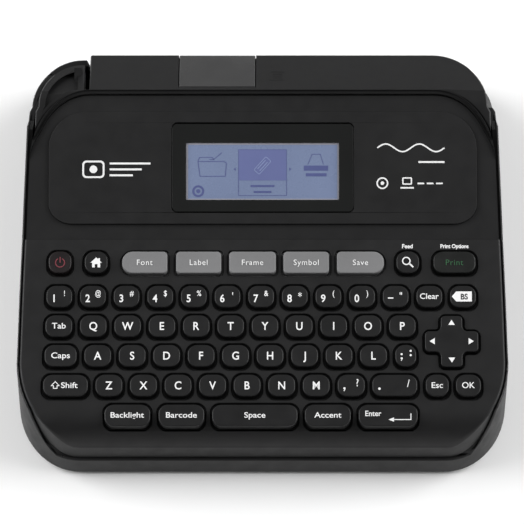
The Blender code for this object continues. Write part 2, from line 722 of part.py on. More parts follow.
KEY_GROUPS = {
    "power_key": (0, [(-83.1, -73.2)], "black_key"),
    "home_key": (0, [(-69.2, -59.2)], "black_key"),
    "font_key": (0, [(-54.8, -36.1)], "grey_key"),
    "label_key": (0, [(-34.0, -15.3)], "grey_key"),
    "frame_key": (0, [(-13.5, 5.8)], "grey_key"),
    "symbol_key": (0, [(7.4, 26.3)], "grey_key"),
    "save_key": (0, [(28.1, 47.5)], "grey_key"),
    "preview_key": (0, [(51.1, 61.0)], "black_key"),
    "print_key": (0, [(65.4, 82.8)], "black_key"),
    "number_keys": (1, run(-78.3, 12.96, 11.1, 11), "black_key"),
    "clear_key": (1, run(-78.3 + 11 * 12.96, 12.96, 11.1, 1), "black_key"),
    "backspace_key": (1, run(-78.3 + 12 * 12.96, 12.96, 11.1, 1), "black_key"),
    "tab_key": (2, [(-84.1, -72.6)], "black_key"),
    "upper_letter_keys": (2, run(-65.1, 13.21, 11.4, 10), "black_key"),
    "caps_key": (3, [(-84.3, -70.8)], "black_key"),
    "middle_letter_keys": (3, run(-63.3, 13.24, 11.5, 9) + [(50.4, 59.6)], "black_key"),
    "shift_key": (4, [(-84.7, -66.4)], "black_key"),
    "lower_letter_keys": (4, run(-58.9, 13.25, 11.5, 7) + [(28.2, 39.8), (41.5, 59.9)], "black_key"),
    "escape_key": (4, [(62.0, 72.0)], "black_key"),
    "ok_key": (4, [(73.6, 84.3)], "black_key"),
    "backlight_key": (5, [(-61.1, -42.4)], "black_key"),
    "barcode_key": (5, [(-40.4, -21.7)], "black_key"),
    "space_key": (5, [(-19.9, 14.0)], "black_key"),
    "accent_key": (5, [(15.6, 34.4)], "black_key"),
    "enter_key": (5, [(36.2, 60.0)], "black_key"),
}
LAST_ROW = 5
PAD_CENTRE, PAD_REACH, PAD_ARM = (72.7, -41.5), 11.0, 4.9


def all_wells():
    """Every rectangular well as (left, front, right, rear)."""
    wells = []
    for row, spans, _kind in KEY_GROUPS.values():
        middle = row_middle(row)
        wells += [(x0, middle - WELL_HEIGHT / 2, x1, middle + WELL_HEIGHT / 2) for x0, x1 in spans]
    return wells


def plus_outline(inset):
    """The four-way pad's cross, whose arms taper a little and have their corners cut off."""
    cx, cy = PAD_CENTRE
    reach, arm, corner, taper = PAD_REACH - inset, PAD_ARM - inset, 1.6, 0.15
    tip = [(reach - corner, taper - arm), (reach, corner - arm), (reach, arm - corner)]
    tip += [(reach - corner, arm - taper), (arm, arm)]
    points = []
    for quarter in range(4):
        turn = Matrix.Rotation(math.radians(90 * quarter), 2)
        points += [tuple(turn @ Vector(p) + Vector((cx, cy))) for p in tip]
    return points


def key_origin(obj, x, q):
    return set_origin(obj, KEYBOARD @ Vector((x * MM, q * MM, 0)) / MM)


def key_group(name, row, spans, kind):
    """Caps that stand through their wells, on one plate under the panel that holds them in.

    The last row's plate stays behind the panel's front slope, which is lower.
    """
    middle = row_middle(row)
    low, high = middle - WELL_HEIGHT / 2, middle + WELL_HEIGHT / 2
    caps = [
        rounded(x0 + CAP_GAP, low + CAP_GAP, x1 - CAP_GAP, high - CAP_GAP, CAP_CORNER) for x0, x1 in spans
    ]
    plate_low = FLANGE_TOP - FLANGE_THICK
    plate_front = middle + 1.5 if row == LAST_ROW else low - FLANGE
    corner = (spans[0][0] - FLANGE, plate_front, plate_low)
    body = box(name, corner, (spans[-1][1] + FLANGE, high + FLANGE, FLANGE_TOP), KEYBOARD)
    join(body, prism(name + "_caps", caps, plate_low + 0.2, CAP_HEIGHT, KEYBOARD))
    return finish(body, kind)


def direction_pad():
    body = prism("direction_pad", [plus_outline(CAP_GAP)], FLANGE_TOP - 0.5, CAP_HEIGHT, KEYBOARD)
    cx, cy = PAD_CENTRE
    reach = PAD_REACH + FLANGE
    low = (cx - reach, cy - reach, FLANGE_TOP - FLANGE_THICK)
    join(body, box("pad_plate", low, (cx + reach, cy + reach, FLANGE_TOP), KEYBOARD))
    return finish(body, "black_key")


clear_scene()
PARTS = collection("label_maker")
CUTTERS = collection("cutters", hidden=True)
for make in (
    base_case,
    keyboard_housing,
    display_housing,
    display_fascia,
    lcd_lens,
    lcd_module,
    tape_cover,
    cassette_window,
    cover_latch,
    cutter_lever,
    cutter_blade,
    chassis,
    print_head,
    platen_roller,
    platen_gear,
    roller_holder,
    feed_motor,
    motor_pinion,
    idler_gear,
    ribbon_spindle,
    tape_cassette,
    key_mat,
    main_board,
    battery_cover,
    batteries,
    dc_inlet,
    usb_port,
    direction_pad,
):
    make()
for name, y in FEET.items():
    foot_strip(name, y)
for index, at in enumerate(SCREWS, 1):
    case_screw(index, at)
for name, (row, spans, kind) in KEY_GROUPS.items():
    key_group(name, row, spans, kind)
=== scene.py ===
"""The label maker's looks: fine shells, key caps, legends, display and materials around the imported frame.

Lengths in this file are millimetres; the helpers turn them into metres. The frame is the CAD model's:
origin at the middle of the footprint, +X to the user's right, +Y to the rear, +Z up.
"""

import math

import bmesh
import bpy
from mathutils import Matrix, Vector


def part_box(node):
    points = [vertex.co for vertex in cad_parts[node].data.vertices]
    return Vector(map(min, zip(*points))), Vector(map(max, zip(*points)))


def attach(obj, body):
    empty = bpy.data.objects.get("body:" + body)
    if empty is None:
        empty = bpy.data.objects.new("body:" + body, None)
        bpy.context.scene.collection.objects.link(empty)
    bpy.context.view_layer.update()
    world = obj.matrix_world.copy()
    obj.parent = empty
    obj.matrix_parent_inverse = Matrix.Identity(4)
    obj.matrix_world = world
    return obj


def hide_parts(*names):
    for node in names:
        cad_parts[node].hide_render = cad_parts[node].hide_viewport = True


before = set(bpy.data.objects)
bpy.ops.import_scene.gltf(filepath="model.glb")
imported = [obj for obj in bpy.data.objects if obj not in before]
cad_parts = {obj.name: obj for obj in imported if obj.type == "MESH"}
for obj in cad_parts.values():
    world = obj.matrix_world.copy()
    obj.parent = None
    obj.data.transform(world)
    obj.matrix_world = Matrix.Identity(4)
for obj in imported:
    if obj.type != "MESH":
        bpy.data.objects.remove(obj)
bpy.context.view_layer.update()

MM = 0.001
GAP = 0.3
WALL = 2.2
MERGE = 0.12

# Outline of the case seen from above
HALF_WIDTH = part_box("base_case")[1][0] / MM
FRONT_Y, REAR_Y = (corner[1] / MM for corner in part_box("base_case"))
WIDEST_Y = -66.0
TAPER, TAPER_LENGTH, TAPER_POWER = 1.4, 54.6, 1.42
FRONT_CORNER = (24.0, 30.0)
REAR_CORNER = 16.0
LEAN_CORNER = 21.0

# Side profile
CASE_BOTTOM = 2.0
PART_LINE_Z = 12.2
KEY_TILT, DISPLAY_TILT = 14.0, 24.0
SEAM_Y, SEAM_Z = -10.8, 48.2
SLOPE_TOP_Y = -75.9
PANEL_FRONT = (-87.1, 20.6)
CREST = (43.5, 69.3)
STRIP_REAR = (65.5, 60.0)
LEAN_FOOT = (88.5, 18.0)
RIM_DROP = 4.0
STRIP_DROP = 2.5

# Insets of the upper shells from the lower case's outline
PANEL_INSET, COVER_INSET, LEVER_INSET, LEAN_INSET = 1.6, 2.6, 3.0, 1.5
DISPLAY_REAR_Y = 43.1
DISPLAY_CORNER = (23.6, 26.0)
DISPLAY_SKIN = 3.4
SLOT_LEFT, SLOT_RIGHT = -69.0, -67.4
HINGE = (86.6, 13.2)
HINGE_ENDS = (62.0, 66.0)
COVER_EDGE = ((43.6, 55.2), (84.5, 15.7))
RIM_REAR_Z = 14.6
LIP_DROP, LIP_THICK = 0.9, 0.6

# Openings and fixings of the lower case, and the latch's button on the leaning face
HATCH = ((-46.0, -64.0), (46.0, -8.0))
INLET_AT = (-8.0, 12.6)
SCREWS = ((-78.0, -62.0), (78.0, -62.0), (-78.0, 30.0), (78.0, 30.0))
FEET = {"front_foot": -74.0, "rear_foot": 72.0}
LATCH = (20.0, 33.0, 34.0, 42.0)

WORLD = Matrix.Identity(4)
SIDE = Matrix(((0, 0, 1, 0), (1, 0, 0, 0), (0, 1, 0, 0), (0, 0, 0, 1)))
CORNER_STEPS = 16
KEY_CORNER_STEPS = 8


def tilted(degrees, y, z):
    return Matrix.Translation((0, y * MM, z * MM)) @ Matrix.Rotation(math.radians(degrees), 4, "X")


KEYBOARD = tilted(KEY_TILT, SEAM_Y, SEAM_Z)
DISPLAY = tilted(DISPLAY_TILT, SEAM_Y, SEAM_Z)
LEAN_DEGREES = math.degrees(math.atan2(STRIP_REAR[1] - LEAN_FOOT[1], STRIP_REAR[0] - LEAN_FOOT[0]))
LEANING = tilted(LEAN_DEGREES, *LEAN_FOOT)
LEAN_PLAN = LEANING @ Matrix.Rotation(math.radians(90), 4, "X")


# Camera, light and floor

VIEW_ELEVATION = 60.0
VIEW_DISTANCE = 2000.0
FRAME_WIDTH = 202.5
VIEW_TARGET = (-0.2, -19.4, 45.0)

# In metres and watts: the softboxes mirror each other, and the surroundings darken towards the front
SOFTBOX_AT, SOFTBOX_SIZE, SOFTBOX_POWER = (1.6, 0.18, 1.0), (1.5, 1.6), 42
SOFTBOX_AIM = (0, 0, 0.04)
FLOOR_REACH = 6.0
SURROUNDINGS = (-0.95, -0.5, 0.02, 0.32)


def add_camera():
    data = bpy.data.cameras.new("camera")
    data.sensor_width = 36.0
    data.lens = 36.0 * VIEW_DISTANCE / FRAME_WIDTH
    data.clip_end = 10
    camera = bpy.data.objects.new("camera", data)
    bpy.context.scene.collection.objects.link(camera)
    up = math.radians(VIEW_ELEVATION)
    away = Vector((0, -math.cos(up), math.sin(up))) * VIEW_DISTANCE
    camera.location = (Vector(VIEW_TARGET) + away) * MM
    camera.rotation_euler = (math.radians(90 - VIEW_ELEVATION), 0, 0)
    bpy.context.scene.camera = camera


def softbox(name, side):
    """A soft rectangular light on the left (-1) or right (1), turned to the object."""
    data = bpy.data.lights.new(name, "AREA")
    data.shape = "RECTANGLE"
    data.size, data.size_y = SOFTBOX_SIZE
    data.energy = SOFTBOX_POWER
    at = Vector((side * SOFTBOX_AT[0], *SOFTBOX_AT[1:]))
    light = bpy.data.objects.new(name, data)
    light.location = at
    light.rotation_euler = (Vector(SOFTBOX_AIM) - at).to_track_quat("-Z", "Y").to_euler()
    bpy.context.scene.collection.objects.link(light)


def set_range(node, start, end, low, high):
    """Makes a Map Range node read start to end as low to high."""
    for key, value in (("From Min", start), ("From Max", end), ("To Min", low), ("To Max", high)):
        node.inputs[key].default_value = value


def add_stage():
    mesh = bpy.data.meshes.new("floor")
    work = bmesh.new()
    bmesh.ops.create_grid(work, x_segments=1, y_segments=1, size=FLOOR_REACH)
    work.to_mesh(mesh)
    work.free()
    floor = bpy.data.objects.new("floor", mesh)
    bpy.context.scene.collection.objects.link(floor)
    paint = bpy.data.materials.new("floor_paint")
    paint.use_nodes = True
    shader = paint.node_tree.nodes["Principled BSDF"]
    shader.inputs["Base Color"].default_value = (0.9, 0.9, 0.9, 1)
    shader.inputs["Roughness"].default_value = 0.9
    mesh.materials.append(paint)
    world = bpy.data.worlds.new("studio")
    world.use_nodes = True
    tree = world.node_tree
    tree.nodes["Background"].inputs["Color"].default_value = (1, 1, 1, 1)
    direction = tree.nodes.new("ShaderNodeTexCoord")
    split = tree.nodes.new("ShaderNodeSeparateXYZ")
    dim = tree.nodes.new("ShaderNodeMapRange")
    set_range(dim, *SURROUNDINGS)
    tree.links.new(direction.outputs["Generated"], split.inputs["Vector"])
    tree.links.new(split.outputs["Y"], dim.inputs["Value"])
    tree.links.new(dim.outputs["Result"], tree.nodes["Background"].inputs["Strength"])
    bpy.context.scene.world = world
    bpy.context.scene.view_settings.view_transform = "Standard"
    softbox("left_softbox", -1)
    softbox("right_softbox", 1)


# Materials


class Nodes:
    """A material's nodes, added and linked one call at a time."""

    def __init__(self, name):
        self.made = bpy.data.materials.new(name)
        self.made.use_nodes = True
        self.tree = self.made.node_tree
        self.shader = self.tree.nodes["Principled BSDF"]
        self.place = self.add("ShaderNodeTexCoord").outputs["Object"]

    def add(self, kind, **settings):
        node = self.tree.nodes.new(kind)
        for key, value in settings.items():
            if key in node.inputs:
                node.inputs[key].default_value = value
            else:
                setattr(node, key, value)
        return node

    def link(self, source, target):
        self.tree.links.new(source, target)

    def feed(self, key, source):
        self.link(source, self.shader.inputs[key])

    def noise(self, scale, detail=2.0, roughness=0.5):
        """A noise pattern whose features measure about 1 / scale metres."""
        node = self.add("ShaderNodeTexNoise", Scale=scale, Detail=detail, Roughness=roughness)
        self.link(self.place, node.inputs["Vector"])
        return node.outputs["Fac"]

    def spread(self, value, low, high, start=0.3, end=0.7):
        node = self.add("ShaderNodeMapRange")
        set_range(node, start, end, low, high)
        self.link(value, node.inputs["Value"])
        return node.outputs["Result"]

    def blend(self, value, first, second):
        node = self.add("ShaderNodeMix", data_type="RGBA")
        self.link(value, node.inputs[0])
        node.inputs[6].default_value = (*first, 1)
        node.inputs[7].default_value = (*second, 1)
        return node.outputs[2]

    def bump(self, value, strength, distance):
        node = self.add("ShaderNodeBump", Strength=strength, Distance=distance)
        self.link(value, node.inputs["Height"])
        self.feed("Normal", node.outputs["Normal"])


def moulded(name, colour, roughness=0.5, grain=2600.0, depth=0.00002, clear=0.0, shift=0.15):
    """Moulded plastic: a fine spark-eroded grain, slightly uneven gloss and a faint drift in colour."""
    nodes = Nodes(name)
    lighter = tuple(min(c * (1 + shift), 1) for c in colour)
    darker = tuple(c * (1 - shift) for c in colour)
    drift = nodes.spread(nodes.noise(38.0, 3.0), 0.0, 1.0)
    nodes.feed("Base Color", nodes.blend(drift, darker, lighter))
    nodes.feed("Roughness", nodes.spread(nodes.noise(160.0, 4.0), roughness - 0.05, roughness + 0.06))
    nodes.shader.inputs["Coat Weight"].default_value = clear
    nodes.shader.inputs["Specular IOR Level"].default_value = 0.3
    nodes.bump(nodes.noise(grain, 2.0, 0.6), 0.35, depth)
    return nodes.made


# Mesh helpers


def new_piece(name, mesh, place=WORLD):
    piece = bpy.data.objects.new(name, mesh)
    piece.matrix_world = place
    bpy.context.scene.collection.objects.link(piece)
    return piece


def evaluated(piece):
    return bpy.data.meshes.new_from_object(piece.evaluated_get(bpy.context.evaluated_depsgraph_get()))


def bake(piece):
    """Applies the modifiers and moves the shape into the frame, so that textures share its scale."""
    mesh = evaluated(piece)
    mesh.name = piece.name
    piece.modifiers.clear()
    mesh.transform(piece.matrix_world)
    piece.data = mesh
    piece.matrix_world = WORLD
    return piece


def remove(*pieces):
    for piece in pieces:
        bpy.data.objects.remove(piece, do_unlink=True)


def from_work(name, work, place=WORLD):
    mesh = bpy.data.meshes.new(name)
    work.to_mesh(mesh)
    work.free()
    return new_piece(name, mesh, place)


def prism(name, outlines, low, high, place=WORLD):
    """Closed outlines in the place's XY plane, extruded from low to high along its Z."""
    curve = bpy.data.curves.new(name, "CURVE")
    curve.dimensions = "2D"
    curve.fill_mode = "BOTH"
    curve.extrude = (high - low) / 2 * MM
    for outline in outlines:
        spline = curve.splines.new("POLY")
        spline.points.add(len(outline) - 1)
        for point, (x, y) in zip(spline.points, outline):
            point.co = (x * MM, y * MM, 0, 1)
        spline.use_cyclic_u = True
    flat = new_piece(name, curve, place @ Matrix.Translation((0, 0, (low + high) / 2 * MM)))
    work = bmesh.new()
    work.from_mesh(evaluated(flat))
    bmesh.ops.remove_doubles(work, verts=work.verts, dist=1e-6)
    bmesh.ops.recalc_face_normals(work, faces=work.faces)
    solid = from_work(name, work, flat.matrix_world.copy())
    remove(flat)
    solid.name = name
    return solid


def box(name, low, high, place=WORLD):
    low, high = Vector(low) * MM, Vector(high) * MM
    work = bmesh.new()
    bmesh.ops.create_cube(work, size=1.0, matrix=Matrix.Diagonal((*(high - low), 1)))
    return from_work(name, work, place @ Matrix.Translation((low + high) / 2))


def cylinder(name, at, low, high, radius, place=WORLD, sides=48):
    work = bmesh.new()
    size = radius * MM
    bmesh.ops.create_cone(
        work, cap_ends=True, segments=sides, radius1=size, radius2=size, depth=(high - low) * MM
    )
    return from_work(name, work, place @ Matrix.Translation((at[0] * MM, at[1] * MM, (low + high) / 2 * MM)))


def apply_modifiers(piece):
    mesh = evaluated(piece)
    piece.modifiers.clear()
    piece.data = mesh
    return piece


def boolean(piece, other, operation="DIFFERENCE", careful=False):
    """Cuts or joins. The first one after a bevel is careful, since bevelled skins may touch themselves."""
    modifier = piece.modifiers.new("boolean", "BOOLEAN")
    modifier.operation = operation
    modifier.use_self = careful
    modifier.use_hole_tolerant = careful
    modifier.object = other
    apply_modifiers(piece)
    remove(other)
    return piece


def round_edges(piece, width, segments=3, angle=32.0):
    modifier = piece.modifiers.new("round", "BEVEL")
    modifier.use_clamp_overlap = False
    modifier.width = width * MM
    modifier.segments = segments
    modifier.limit_method = "ANGLE"
    modifier.angle_limit = math.radians(angle)
    return apply_modifiers(piece)


def tidy_mesh(piece):
    """Merges stray points that Booleans leave and joins faces that lie in one plane."""
    work = bmesh.new()
    work.from_mesh(piece.data)
    bmesh.ops.remove_doubles(work, verts=work.verts, dist=MERGE * MM)
    bmesh.ops.dissolve_degenerate(work, edges=work.edges, dist=MERGE * MM)
    bmesh.ops.dissolve_limit(
        work, angle_limit=math.radians(0.4), verts=work.verts, edges=work.edges, use_dissolve_boundaries=False
    )
    work.to_mesh(piece.data)
    work.free()
    return piece


def done(piece, material, body, *nodes, slot=None, smooth=32.0):
    """Shades a piece, gives it its material, and hangs it on a body in place of CAD nodes."""
    bake(piece)
    piece.data.shade_smooth()
    piece.data.set_sharp_from_angle(angle=math.radians(smooth))
    weighted = piece.modifiers.new("weighted", "WEIGHTED_NORMAL")
    weighted.keep_sharp = True
    weighted.weight = 80
    bake(piece)
    piece.data.materials.clear()
    piece.data.materials.append(material)
    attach(piece, body)
    if nodes:
        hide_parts(*nodes)
    return piece


def loft(name, rings, place=WORLD):
    """Skin between rings of equal length, in millimetres, with both ends filled."""
    work = bmesh.new()
    rows = [[work.verts.new(Vector(p) * MM) for p in ring] for ring in rings]
    for first, second in zip(rows, rows[1:]):
        for i in range(len(first)):
            j = (i + 1) % len(first)
            work.faces.new((first[i], first[j], second[j], second[i]))
    work.faces.new(rows[0][::-1])
    work.faces.new(rows[-1])
    bmesh.ops.recalc_face_normals(work, faces=work.faces)
    return from_work(name, work, place)


# Outlines


def arc(centre, radii, start, end, steps):
    points = []
    for i in range(steps + 1):
        angle = math.radians(start + (end - start) * i / steps)
        points.append((centre[0] + radii[0] * math.cos(angle), centre[1] + radii[1] * math.sin(angle)))
    return points


def half_width(y):
    past = max(y - WIDEST_Y, 0) / TAPER_LENGTH
    return HALF_WIDTH - TAPER * past**TAPER_POWER


def mirrored(right):
    return right + [(-x, y) for x, y in reversed(right)]


def side_points(low, high, inset, steps=14):
    ys = [low + (high - low) * i / steps for i in range(steps + 1)]
    return [(half_width(y) - inset, y) for y in ys]


def case_plan(inset, rear_inset=None):
    """The case's outline from above, inset at its front and sides, and at its rear by rear_inset."""
    rx, ry = FRONT_CORNER[0] - inset, FRONT_CORNER[1] - inset
    corner = REAR_CORNER - inset
    front = FRONT_Y + inset
    rear = REAR_Y - (inset if rear_inset is None else rear_inset)
    width = half_width(rear - corner) - inset
    right = arc((HALF_WIDTH - inset - rx, front + ry), (rx, ry), -90, 0, CORNER_STEPS)
    right += side_points(front + ry + 6, rear - corner, inset)
    right += arc((width - corner, rear - corner), (corner, corner), 0, 90, CORNER_STEPS)[1:]
    return mirrored(right)


def lean_plan(inset, side_inset):
    """Cross-section square to the leaning rear face: its depth axis starts at that face."""
    radius = LEAN_CORNER - inset
    width = half_width(LEAN_FOOT[0] - 30) - side_inset
    corner = arc((width - radius, inset + radius), (radius, radius), 0, -90, CORNER_STEPS)
    return mirrored([(130, 220), (130, 100)] + corner)


def display_plan(grow, front, side=None):
    """The display housing's outline, from front to its rounded rear corners."""
    rx, ry = DISPLAY_CORNER[0] + grow, DISPLAY_CORNER[1] + grow
    rear = DISPLAY_REAR_Y + grow
    foot = rear - ry
    width = half_width(foot) - PANEL_INSET + grow
    sides = [(side, front), (side, foot)] if side else side_points(front, foot, PANEL_INSET - grow, 3)
    return mirrored(sides + arc((width - rx, foot), (rx, ry), 0, 90, CORNER_STEPS)[0 if side else 1 :])


def key_plane_z(y):
    return SEAM_Z + (y - SEAM_Y) * math.tan(math.radians(KEY_TILT))


def display_z(y):
    return SEAM_Z + (y - SEAM_Y) * math.tan(math.radians(DISPLAY_TILT))


def front_slope(steps=14):
    """The convex roll from the panel's front edge up to the keyboard plane."""
    foot, top = PANEL_FRONT, (SLOPE_TOP_Y, key_plane_z(SLOPE_TOP_Y))
    knee = (foot[0] + 2.6, key_plane_z(foot[0] + 2.6))
    points = []
    for i in range(steps + 1):
        t = i / steps
        weights = ((1 - t) ** 2, 2 * t * (1 - t), t * t)
        points.append(tuple(sum(w * p[k] for w, p in zip(weights, (foot, knee, top))) for k in (0, 1)))
    return points


def top_line(drop):
    line = front_slope() + [(SEAM_Y, SEAM_Z), (CREST[0], display_z(CREST[0]))]
    return [(y, z - drop) for y, z in line]


def shaped(name, profile, plan, lean=None):
    """A side profile trimmed by an outline from above and by the leaning rear outline."""
    body = prism(name, [profile], -120, 120, SIDE)
    boolean(body, prism(name + "_plan", [plan], -20, 100), "INTERSECT")
    if lean is not None:
        boolean(body, prism(name + "_lean", [lean], -90, 60, LEAN_PLAN), "INTERSECT")
    return body


def rounded(x0, y0, x1, y1, radius, steps=8):
    size = (radius, radius)
    return (
        arc((x1 - radius, y1 - radius), size, 0, 90, steps)
        + arc((x0 + radius, y1 - radius), size, 90, 180, steps)
        + arc((x0 + radius, y0 + radius), size, 180, 270, steps)
        + arc((x1 - radius, y0 + radius), size, 270, 360, steps)
    )


def swell(outline, amount):
    """Bows the straight runs of a key's outline outward, most at their middles."""
    xs, ys = [p[0] for p in outline], [p[1] for p in outline]
    cx, cy = (min(xs) + max(xs)) / 2, (min(ys) + max(ys)) / 2
    rx, ry = (max(xs) - min(xs)) / 2, (max(ys) - min(ys)) / 2
    return [
        (
            x + amount * (x - cx) / rx * (1 - ((y - cy) / ry) ** 2),
            y + amount * (y - cy) / ry * (1 - min(abs(x - cx) / rx, 1) ** 2),
        )
        for x, y in outline
    ]


def key_shape(x0, q0, x1, q1, grow, kind, end=0):
    """A key's outline. The grey keys have small corners, and end is -1 or 1 where that end is round."""
    low, high = q0 - grow, q1 + grow
    left, right = x0 - grow, x1 + grow
    small = max((1.5 if kind == "grey_key" else 3.2) + grow, 0.3)
    half = (high - low) / 2 - 0.4
    corners = []
    for cx, cy, start, side in ((1, 1, 0, 1), (-1, 1, 90, -1), (-1, -1, 180, -1), (1, -1, 270, 1)):
        radius = half if side == end else small
        x = right - radius if cx > 0 else left + radius
        y = high - radius if cy > 0 else low + radius
        corners += arc((x, y), (radius, radius), start, start + 90, KEY_CORNER_STEPS)
    return swell(corners, 0.05 if kind == "grey_key" else 0.22)


FASCIA = (-82.8, 5.7, 83.0, 49.5)
FASCIA_DEPTH = 1.4
FASCIA_FRONT_CORNER, FASCIA_REAR_CORNER = (9.3, 7.8), 14.3
LENS = (-35.0, 10.5, 35.2, 44.9)
SCREEN = (-29.6, 15.2, 29.6, 37.4)


def fascia_outline(grow, steps=14):
    """The faceplate's outline, with wider corners at the rear than at the front."""
    x0, y0, x1, y1 = FASCIA
    (fx, fy), rear = FASCIA_FRONT_CORNER, FASCIA_REAR_CORNER
    low, high = (fx + grow, fy + grow), (rear + grow, rear + grow)
    outline = arc((x1 - rear, y1 - rear), high, 0, 90, steps)
    outline += arc((x0 + rear, y1 - rear), high, 90, 180, steps)
    outline += arc((x0 + fx, y0 + fy), low, 180, 270, steps)
    return outline + arc((x1 - fx, y0 + fy), low, 270, 360, steps)


def cover_profile(inset):
    """The top strip and the leaning rear face, in side view."""
    before = CREST[0] - 3.0
    line = [(y, display_z(y) - STRIP_DROP) for y in (15.0, before)] + [CREST, STRIP_REAR, LEAN_FOOT]
    inward = ((0, -1), (0, -1), (-0.3, -1), (-0.85, -0.75), (-1, -0.2))
    return [(y + dy * inset, z + dz * inset) for (y, z), (dy, dz) in zip(line, inward)]


WINDOW_X = (-32.5, -2.8)


def window_sides(grow):
    depth = WALL + 0.4
    top, edge, low = (46.0 - grow, 75.0), (76.0, 66.0), (78.0, 43.0 - grow)
    return [top, edge, (low[0] + 8, low[1]), (low[0] - 6, low[1]), (62.2 - depth, 57.5), (46.0 - grow, 60.0)]


PAD_CENTRE, PAD_REACH, PAD_ARM = (72.7, -41.5), 11.0, 4.9


def plus_outline(grow, steps=6):
    """The four-way pad's cross with round outer and inner corners."""
    cx, cy = PAD_CENTRE
    reach, arm, outer, inner = PAD_REACH + grow, PAD_ARM + grow, 2.4 + grow, 1.2 - grow
    points = []
    for quarter in range(4):
        turn = Matrix.Rotation(math.radians(90 * quarter), 2)
        tip = arc((reach - outer, outer - arm), (outer, outer), -90, 0, steps)
        tip += arc((reach - outer, arm - outer), (outer, outer), 0, 90, steps)
        tip += arc((arm + inner, arm + inner), (inner, inner), 270, 180, steps)
        points += [tuple(turn @ Vector(p) + Vector((cx, cy))) for p in tip]
    return points


# Keys: the wells in the panel, measured along the keyboard plane from the seam

ROW_TOP, ROW_FIRST, ROW_PITCH = -10.0, -23.75, 11.8
WELL_HEIGHT, CAP_GAP, CAP_HEIGHT = 10.2, 0.7, 1.6


def row_middle(row):
    return ROW_TOP if row == 0 else ROW_FIRST - (row - 1) * ROW_PITCH


def run(first, pitch, width, count):
    """Wells of one width at a constant pitch, as pairs of left and right edges."""
    middles = [first + i * pitch for i in range(count)]
    return [(middle - width / 2, middle + width / 2) for middle in middles]


KEY_GROUPS = {
    "power_key": (0, [(-83.1, -73.2)]),
    "home_key": (0, [(-69.2, -59.2)]),
    "font_key": (0, [(-54.8, -36.1)]),
    "label_key": (0, [(-34.0, -15.3)]),
    "frame_key": (0, [(-13.5, 5.8)]),
    "symbol_key": (0, [(7.4, 26.3)]),
    "save_key": (0, [(28.1, 47.5)]),
    "preview_key": (0, [(51.1, 61.0)]),
    "print_key": (0, [(65.4, 82.8)]),
    "number_keys": (1, run(-78.3, 12.96, 11.1, 11)),
    "clear_key": (1, run(-78.3 + 11 * 12.96, 12.96, 11.1, 1)),
    "backspace_key": (1, run(-78.3 + 12 * 12.96, 12.96, 11.1, 1)),
    "tab_key": (2, [(-84.1, -72.6)]),
    "upper_letter_keys": (2, run(-65.1, 13.21, 11.4, 10)),
    "caps_key": (3, [(-84.3, -70.8)]),
    "middle_letter_keys": (3, run(-63.3, 13.24, 11.5, 9) + [(50.4, 59.6)]),
    "shift_key": (4, [(-84.7, -66.4)]),
    "lower_letter_keys": (4, run(-58.9, 13.25, 11.5, 7) + [(28.2, 39.8), (41.5, 59.9)]),
    "escape_key": (4, [(62.0, 72.0)]),
    "ok_key": (4, [(73.6, 84.3)]),
    "backlight_key": (5, [(-61.1, -42.4)]),
    "barcode_key": (5, [(-40.4, -21.7)]),
    "space_key": (5, [(-19.9, 14.0)]),
    "accent_key": (5, [(15.6, 34.4)]),
    "enter_key": (5, [(36.2, 60.0)]),
}
GREY_KEYS = ("font_key", "label_key", "frame_key", "symbol_key", "save_key")
ROUND_ENDS = {"font_key": -1, "save_key": 1}


def key_spans():
    """Each key as its group, its place in the group, its well's corners and its kind."""
    for name, (row, spans) in KEY_GROUPS.items():
        middle = row_middle(row)
        kind = "grey_key" if name in GREY_KEYS else "black_key"
        for i, (x0, x1) in enumerate(spans):
            yield name, i, (x0, middle - WELL_HEIGHT / 2, x1, middle + WELL_HEIGHT / 2), kind


# Finishes

CASE = moulded("case_plastic", (0.0065, 0.0065, 0.0068), 0.46)
PANEL = moulded("panel_plastic", (0.0070, 0.0070, 0.0073), 0.5, grain=3200.0)
GLOSS = moulded("gloss_bezel", (0.0045, 0.005, 0.0047), 0.14, grain=420.0, depth=0.000003, clear=0.3)
BLACK_KEY = moulded("black_key", (0.0065, 0.0065, 0.0068), 0.44, grain=3000.0, depth=0.000014)
GREY_KEY = moulded("grey_key", (0.175, 0.175, 0.178), 0.45, grain=3000.0, depth=0.000012, shift=0.05)
POWER_KEY = moulded("power_key_plastic", (0.0085, 0.0062, 0.0066), 0.42, grain=3000.0, depth=0.000014)
PRINT_KEY = moulded("print_key_plastic", (0.0064, 0.007, 0.0065), 0.44, grain=3000.0, depth=0.000014)
RUBBER = moulded("rubber", (0.018, 0.018, 0.018), 0.82, grain=1500.0, depth=0.00004)
GREY_PLASTIC = moulded("grey_plastic", (0.17, 0.17, 0.175), 0.5, shift=0.08)
WHITE_GEAR = moulded("white_gear", (0.66, 0.66, 0.62), 0.42, grain=1800.0, depth=0.00001, shift=0.05)
BATTERY = moulded("battery_shell", (0.05, 0.10, 0.16), 0.3, grain=900.0, depth=0.000006, clear=0.3)
WHITE_INK = moulded("white_ink", (0.80, 0.80, 0.80), 0.5, grain=5000.0, depth=0.000004, shift=0.03)
RED_INK = moulded("red_ink", (0.16, 0.035, 0.045), 0.5, grain=5000.0, depth=0.000004)
GREEN_INK = moulded("green_ink", (0.03, 0.10, 0.045), 0.5, grain=5000.0, depth=0.000004)
BLUE_INK = moulded("lcd_segment", (0.075, 0.09, 0.22), 0.45, grain=5000.0, depth=0.000002, shift=0.06)
PALE_INK = moulded("lcd_segment_pale", (0.20, 0.24, 0.42), 0.45, grain=5000.0, depth=0.000002, shift=0.04)
TILE_INK = moulded("lcd_tile", (0.115, 0.135, 0.29), 0.45, grain=5000.0, depth=0.000002, shift=0.05)


